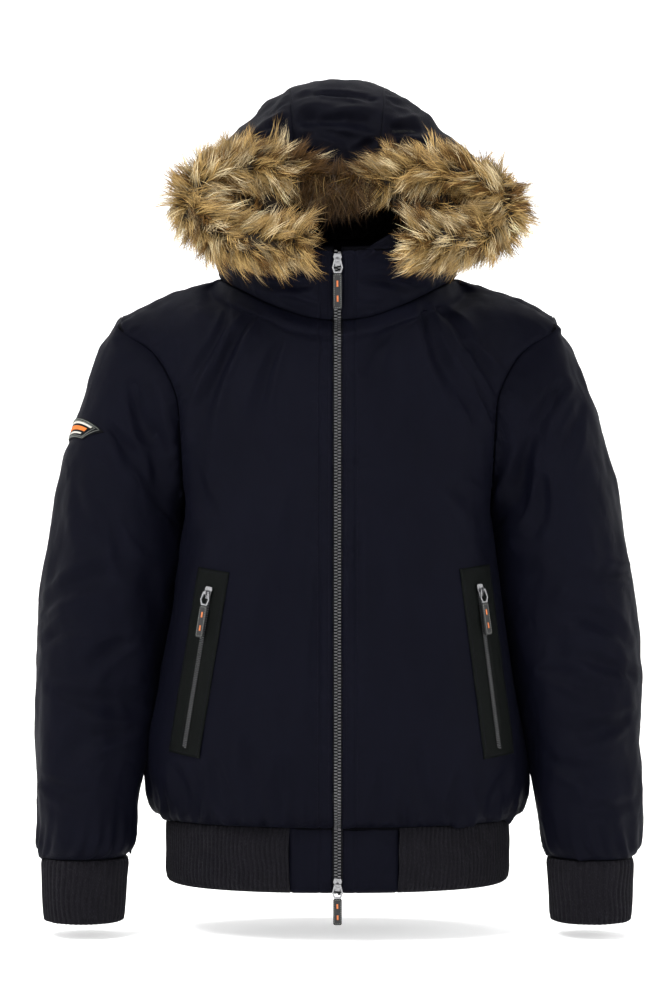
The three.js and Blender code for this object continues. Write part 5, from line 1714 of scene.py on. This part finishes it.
PULLS = ("top", "hem", "pocket_left", "pocket_right")


def dress_hardware():
    for pull in PULLS:
        dress_cad([f"{pull}_slider", f"{pull}_lug", f"{pull}_bail"], NICKEL, 0.35)
        dress_cad([f"{pull}_tag"], TAG_BLACK, 0.5)


def tag_frame(pull):
    """Centre, half sizes and axes of a pull's tag, worked out from its solid."""
    points, slider = (np.array([v.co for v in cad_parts[f"{pull}_{part}"].data.vertices])
                      for part in ("tag", "slider"))
    points = points / MM
    middle = (points.max(0) + points.min(0)) / 2
    _, _, (down, _, out) = np.linalg.svd(points - points.mean(0), full_matrices=False)
    if down[2] > 0:
        down = -down
    if np.dot(out, middle - slider.mean(0) / MM) < 0:
        out = -out
    wide = np.cross(out, down)
    spans = [np.ptp(points @ axis) / 2 for axis in (down, wide, out)]
    middle = sum(axis * ((points @ axis).max() + (points @ axis).min()) / 2
                 for axis in (down, wide, out))
    return middle, down, wide, out, spans


def block(points, faces, middle, axes, half):
    """A little crowned block, added to the lists."""
    add_tube(faces, len(points), 4, 3)
    for level, size in ((-1, 1.0), (0.4, 1.0), (1, 0.75)):
        for a, b in ((-1, -1), (1, -1), (1, 1), (-1, 1)):
            points.append(middle + axes[0] * a * half[0] * size + axes[1] * b * half[1] * size
                          + axes[2] * level * half[2])


def make_tag_trim():
    for pull in PULLS:
        middle, down, wide, out, (long, half, thick) = tag_frame(pull)
        points, faces = [], []
        for face in (1, -1):
            for share in (-0.42, 0.42):
                place = middle + down * long * share + out * face * (thick + 0.1)
                block(points, faces, place, (down, wide, out * face), (long * 0.17, 0.9, 0.35))
        mesh = mesh_from(f"{pull}_tag_bars", points, faces, smooth=False)
        solid(f"{pull}_tag_bars", mesh, ORANGE, f"{pull}_pull", None)
        runs = []
        for face in (1, -1):
            corner = [(-1, -1), (1, -1), (1, 1), (-1, 1), (-1, -1)]
            line = np.array([middle + down * a * (long - 1.6) + wide * b * (half - 1.4)
                             + out * face * (thick + 0.05) for a, b in corner])
            for start, end in zip(line[:-1], line[1:]):
                runs.append((np.array([start, end]), np.array([out * face] * 2)))
        stitch_mesh(f"{pull}_tag_stitches", runs, 2.2, 0.34, GREY_THREAD, f"{pull}_pull")


# ---------------------------------------------------------------- sleeve patch

# Where the patch lies on its sleeve: ring places, rows, and how far it climbs towards the back.
PATCH = {"ring": (5.9, 9.7), "row": (8.05, 8.47), "skew": 0.183}


def by_patch(index, t):
    """1 on the sleeve under the patch, falling to 0 around it."""
    (first, last), (low, high) = PATCH["ring"], PATCH["row"]
    across = np.abs((index - first) / (last - first) - 0.5) - 0.5
    up = np.abs((t - PATCH["skew"] * (ARMHOLE - index) - low) / (high - low) - 0.5) - 0.5
    return smoothstep(np.maximum(across * 46, up * 27), 14, 1)


def patch_point(across, up, lift):
    """A point of the patch, 0 to 1 across from the front edge and up, lifted off the sleeve."""
    across = 0.5 + (across - 0.5) * lerp(0.42, 1, up)
    index = lerp(*PATCH["ring"], across)
    t = lerp(*PATCH["row"], up) + PATCH["skew"] * (ARMHOLE - index)
    around = np.array([index - 0.1, index, index + 0.1])
    ahead = sleeve_points(around, np.array([t - 0.1, t, t + 0.1]))
    normal = unit(np.cross(ahead[1, 2] - ahead[1, 0], ahead[2, 1] - ahead[0, 1]))
    return (ahead[1, 1] + normal * lift) * [-1, 1, 1], normal * [-1, 1, 1]


def patch_strip(name, low, high, start, end, lift, thick, mat):
    columns, rows = np.linspace(end, start, 30), np.linspace(low, high, 6)
    grid = np.array([[patch_point(c, r, lift)[0] for c in columns] for r in rows])
    mesh = shell_mesh(name, grid, thick, step=1)
    return solid(name, mesh, mat, "jacket", None), grid


def make_patch():
    ground, grid = patch_strip("sleeve_patch_ground", 0, 1, 0, 1, 1.1, 1.0, TAPE)
    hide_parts("sleeve_patch")
    runs = []
    for inset in (0.05, 0.1):
        near, far, low, high = inset, 1 - inset, inset * 1.4, 1 - inset * 1.4
        corners = ((near, low), (far, low), (far, high), (near, high), (near, low))
        for a, b in zip(corners[:-1], corners[1:]):
            runs.append(run_of([patch_point(lerp(a[0], b[0], f), lerp(a[1], b[1], f), 1.25)
                                for f in np.linspace(0, 1, 24)]))
    stitch_mesh("sleeve_patch_border", runs, 1.6, 0.5, GREY_THREAD)
    for name, low, high, start, mat in (("high", 0.72, 0.82, 0.14, PALE_THREAD),
                                        ("middle", 0.42, 0.62, 0.18, RUST_THREAD),
                                        ("low", 0.24, 0.32, 0.22, PALE_THREAD)):
        patch_strip(f"sleeve_patch_bar_{name}", low, high, start, 1 - start, 1.5, 0.6, mat)


# ---------------------------------------------------------------- building it

FUR_SEEDS = {"left": (181, 183), "right": (191, 193)}


def build():
    for name, sign in SIDES:
        for make in (make_front, make_sleeve, make_collar, make_hood_side, make_cuff, fur_core,
                     painted_shade_web):
            make(name, sign)
        for layer, seed in zip(FUR_LAYERS, FUR_SEEDS[name]):
            fur_fibres(name, sign, layer, seed)
        make_pocket(name, sign)
    for make in (make_back, make_collar_back, make_hood_centre, make_linings, fur_middle,
                 make_hem_rib, make_front_zip, make_stitches, dress_hardware, make_tag_trim,
                 make_patch):
        make()


build()


# ---------------------------------------------------------------- stage

def make_stage():
    """A pale round floor that sweeps up all round, so that every side has the same ground."""
    floor_z, flat, radius = -692.0, 5600.0, 900.0
    profile = [(0.0, floor_z), (flat, floor_z)]
    for a in np.linspace(0, math.pi / 2, 10)[1:]:
        profile.append((flat + radius * math.sin(a), floor_z + radius - radius * math.cos(a)))
    profile.append((flat + radius, 5500.0))
    sides = 64
    turn = np.linspace(0, 2 * math.pi, sides + 1)[:-1]
    points, faces = [(0.0, 0.0, floor_z)], []
    for away, z in profile[1:]:
        points += [(away * math.sin(a), -away * math.cos(a), z) for a in turn]
    for k in range(sides):
        n = (k + 1) % sides
        faces.append([0, 1 + k, 1 + n])
        for ring in range(len(profile) - 2):
            low, high = 1 + ring * sides, 1 + (ring + 1) * sides
            faces.append([low + k, high + k, high + n, low + n])
    mesh = mesh_from("floor", points, faces)
    fix_outside(mesh)
    made, _, shader = material("pale_floor", (0.93, 0.93, 0.93), 0.9, specular=0.1)
    shader.inputs["Emission Color"].default_value = (1, 1, 1, 1)
    shader.inputs["Emission Strength"].default_value = 0.44
    mesh.materials.append(made)
    floor = bpy.data.objects.new("floor", mesh)
    bpy.context.scene.collection.objects.link(floor)


# The camera's distance, the span of the picture's long side at the zip, and the sensor.
CAMERA_AWAY = 3200
PICTURE_SPAN = 1108.8
SENSOR = 36


def area_light(name, place, target, size, power):
    data = bpy.data.lights.new(name, "AREA")
    data.shape = "RECTANGLE"
    data.size, data.size_y = size
    data.energy = power
    lamp = bpy.data.objects.new(name, data)
    lamp.location = place
    lamp.rotation_mode = "QUATERNION"
    lamp.rotation_quaternion = (Vector(target) - Vector(place)).to_track_quat("-Z", "Y")
    bpy.context.scene.collection.objects.link(lamp)


def make_light_and_camera():
    scene = bpy.context.scene
    world = bpy.data.worlds.new("studio")
    world.use_nodes = True
    sky = world.node_tree.nodes["Background"]
    sky.inputs["Color"].default_value = (1, 1, 1, 1)
    sky.inputs["Strength"].default_value = 0.27
    scene.world = world
    area_light("key", (-1.7, -2.1, 2.8), (0, 0, -0.15), (1.2, 1.2), 108)
    area_light("fill", (2.3, -2.2, 0.6), (0, 0, -0.2), (1.5, 1.5), 18)
    area_light("backdrop", (0, 0.9, 2.3), (0, 1.3, -0.7), (3.0, 0.8), 60)
    camera = bpy.data.cameras.new("camera")
    camera.sensor_width = SENSOR
    camera.lens = SENSOR * CAMERA_AWAY / PICTURE_SPAN
    eye = bpy.data.objects.new("camera", camera)
    eye.location = (-0.0016, -CAMERA_AWAY * MM, -0.224)
    eye.rotation_euler = (math.pi / 2, 0, 0)
    scene.collection.objects.link(eye)
    scene.camera = eye
    scene.view_settings.view_transform = "Standard"


make_stage()
make_light_and_camera()
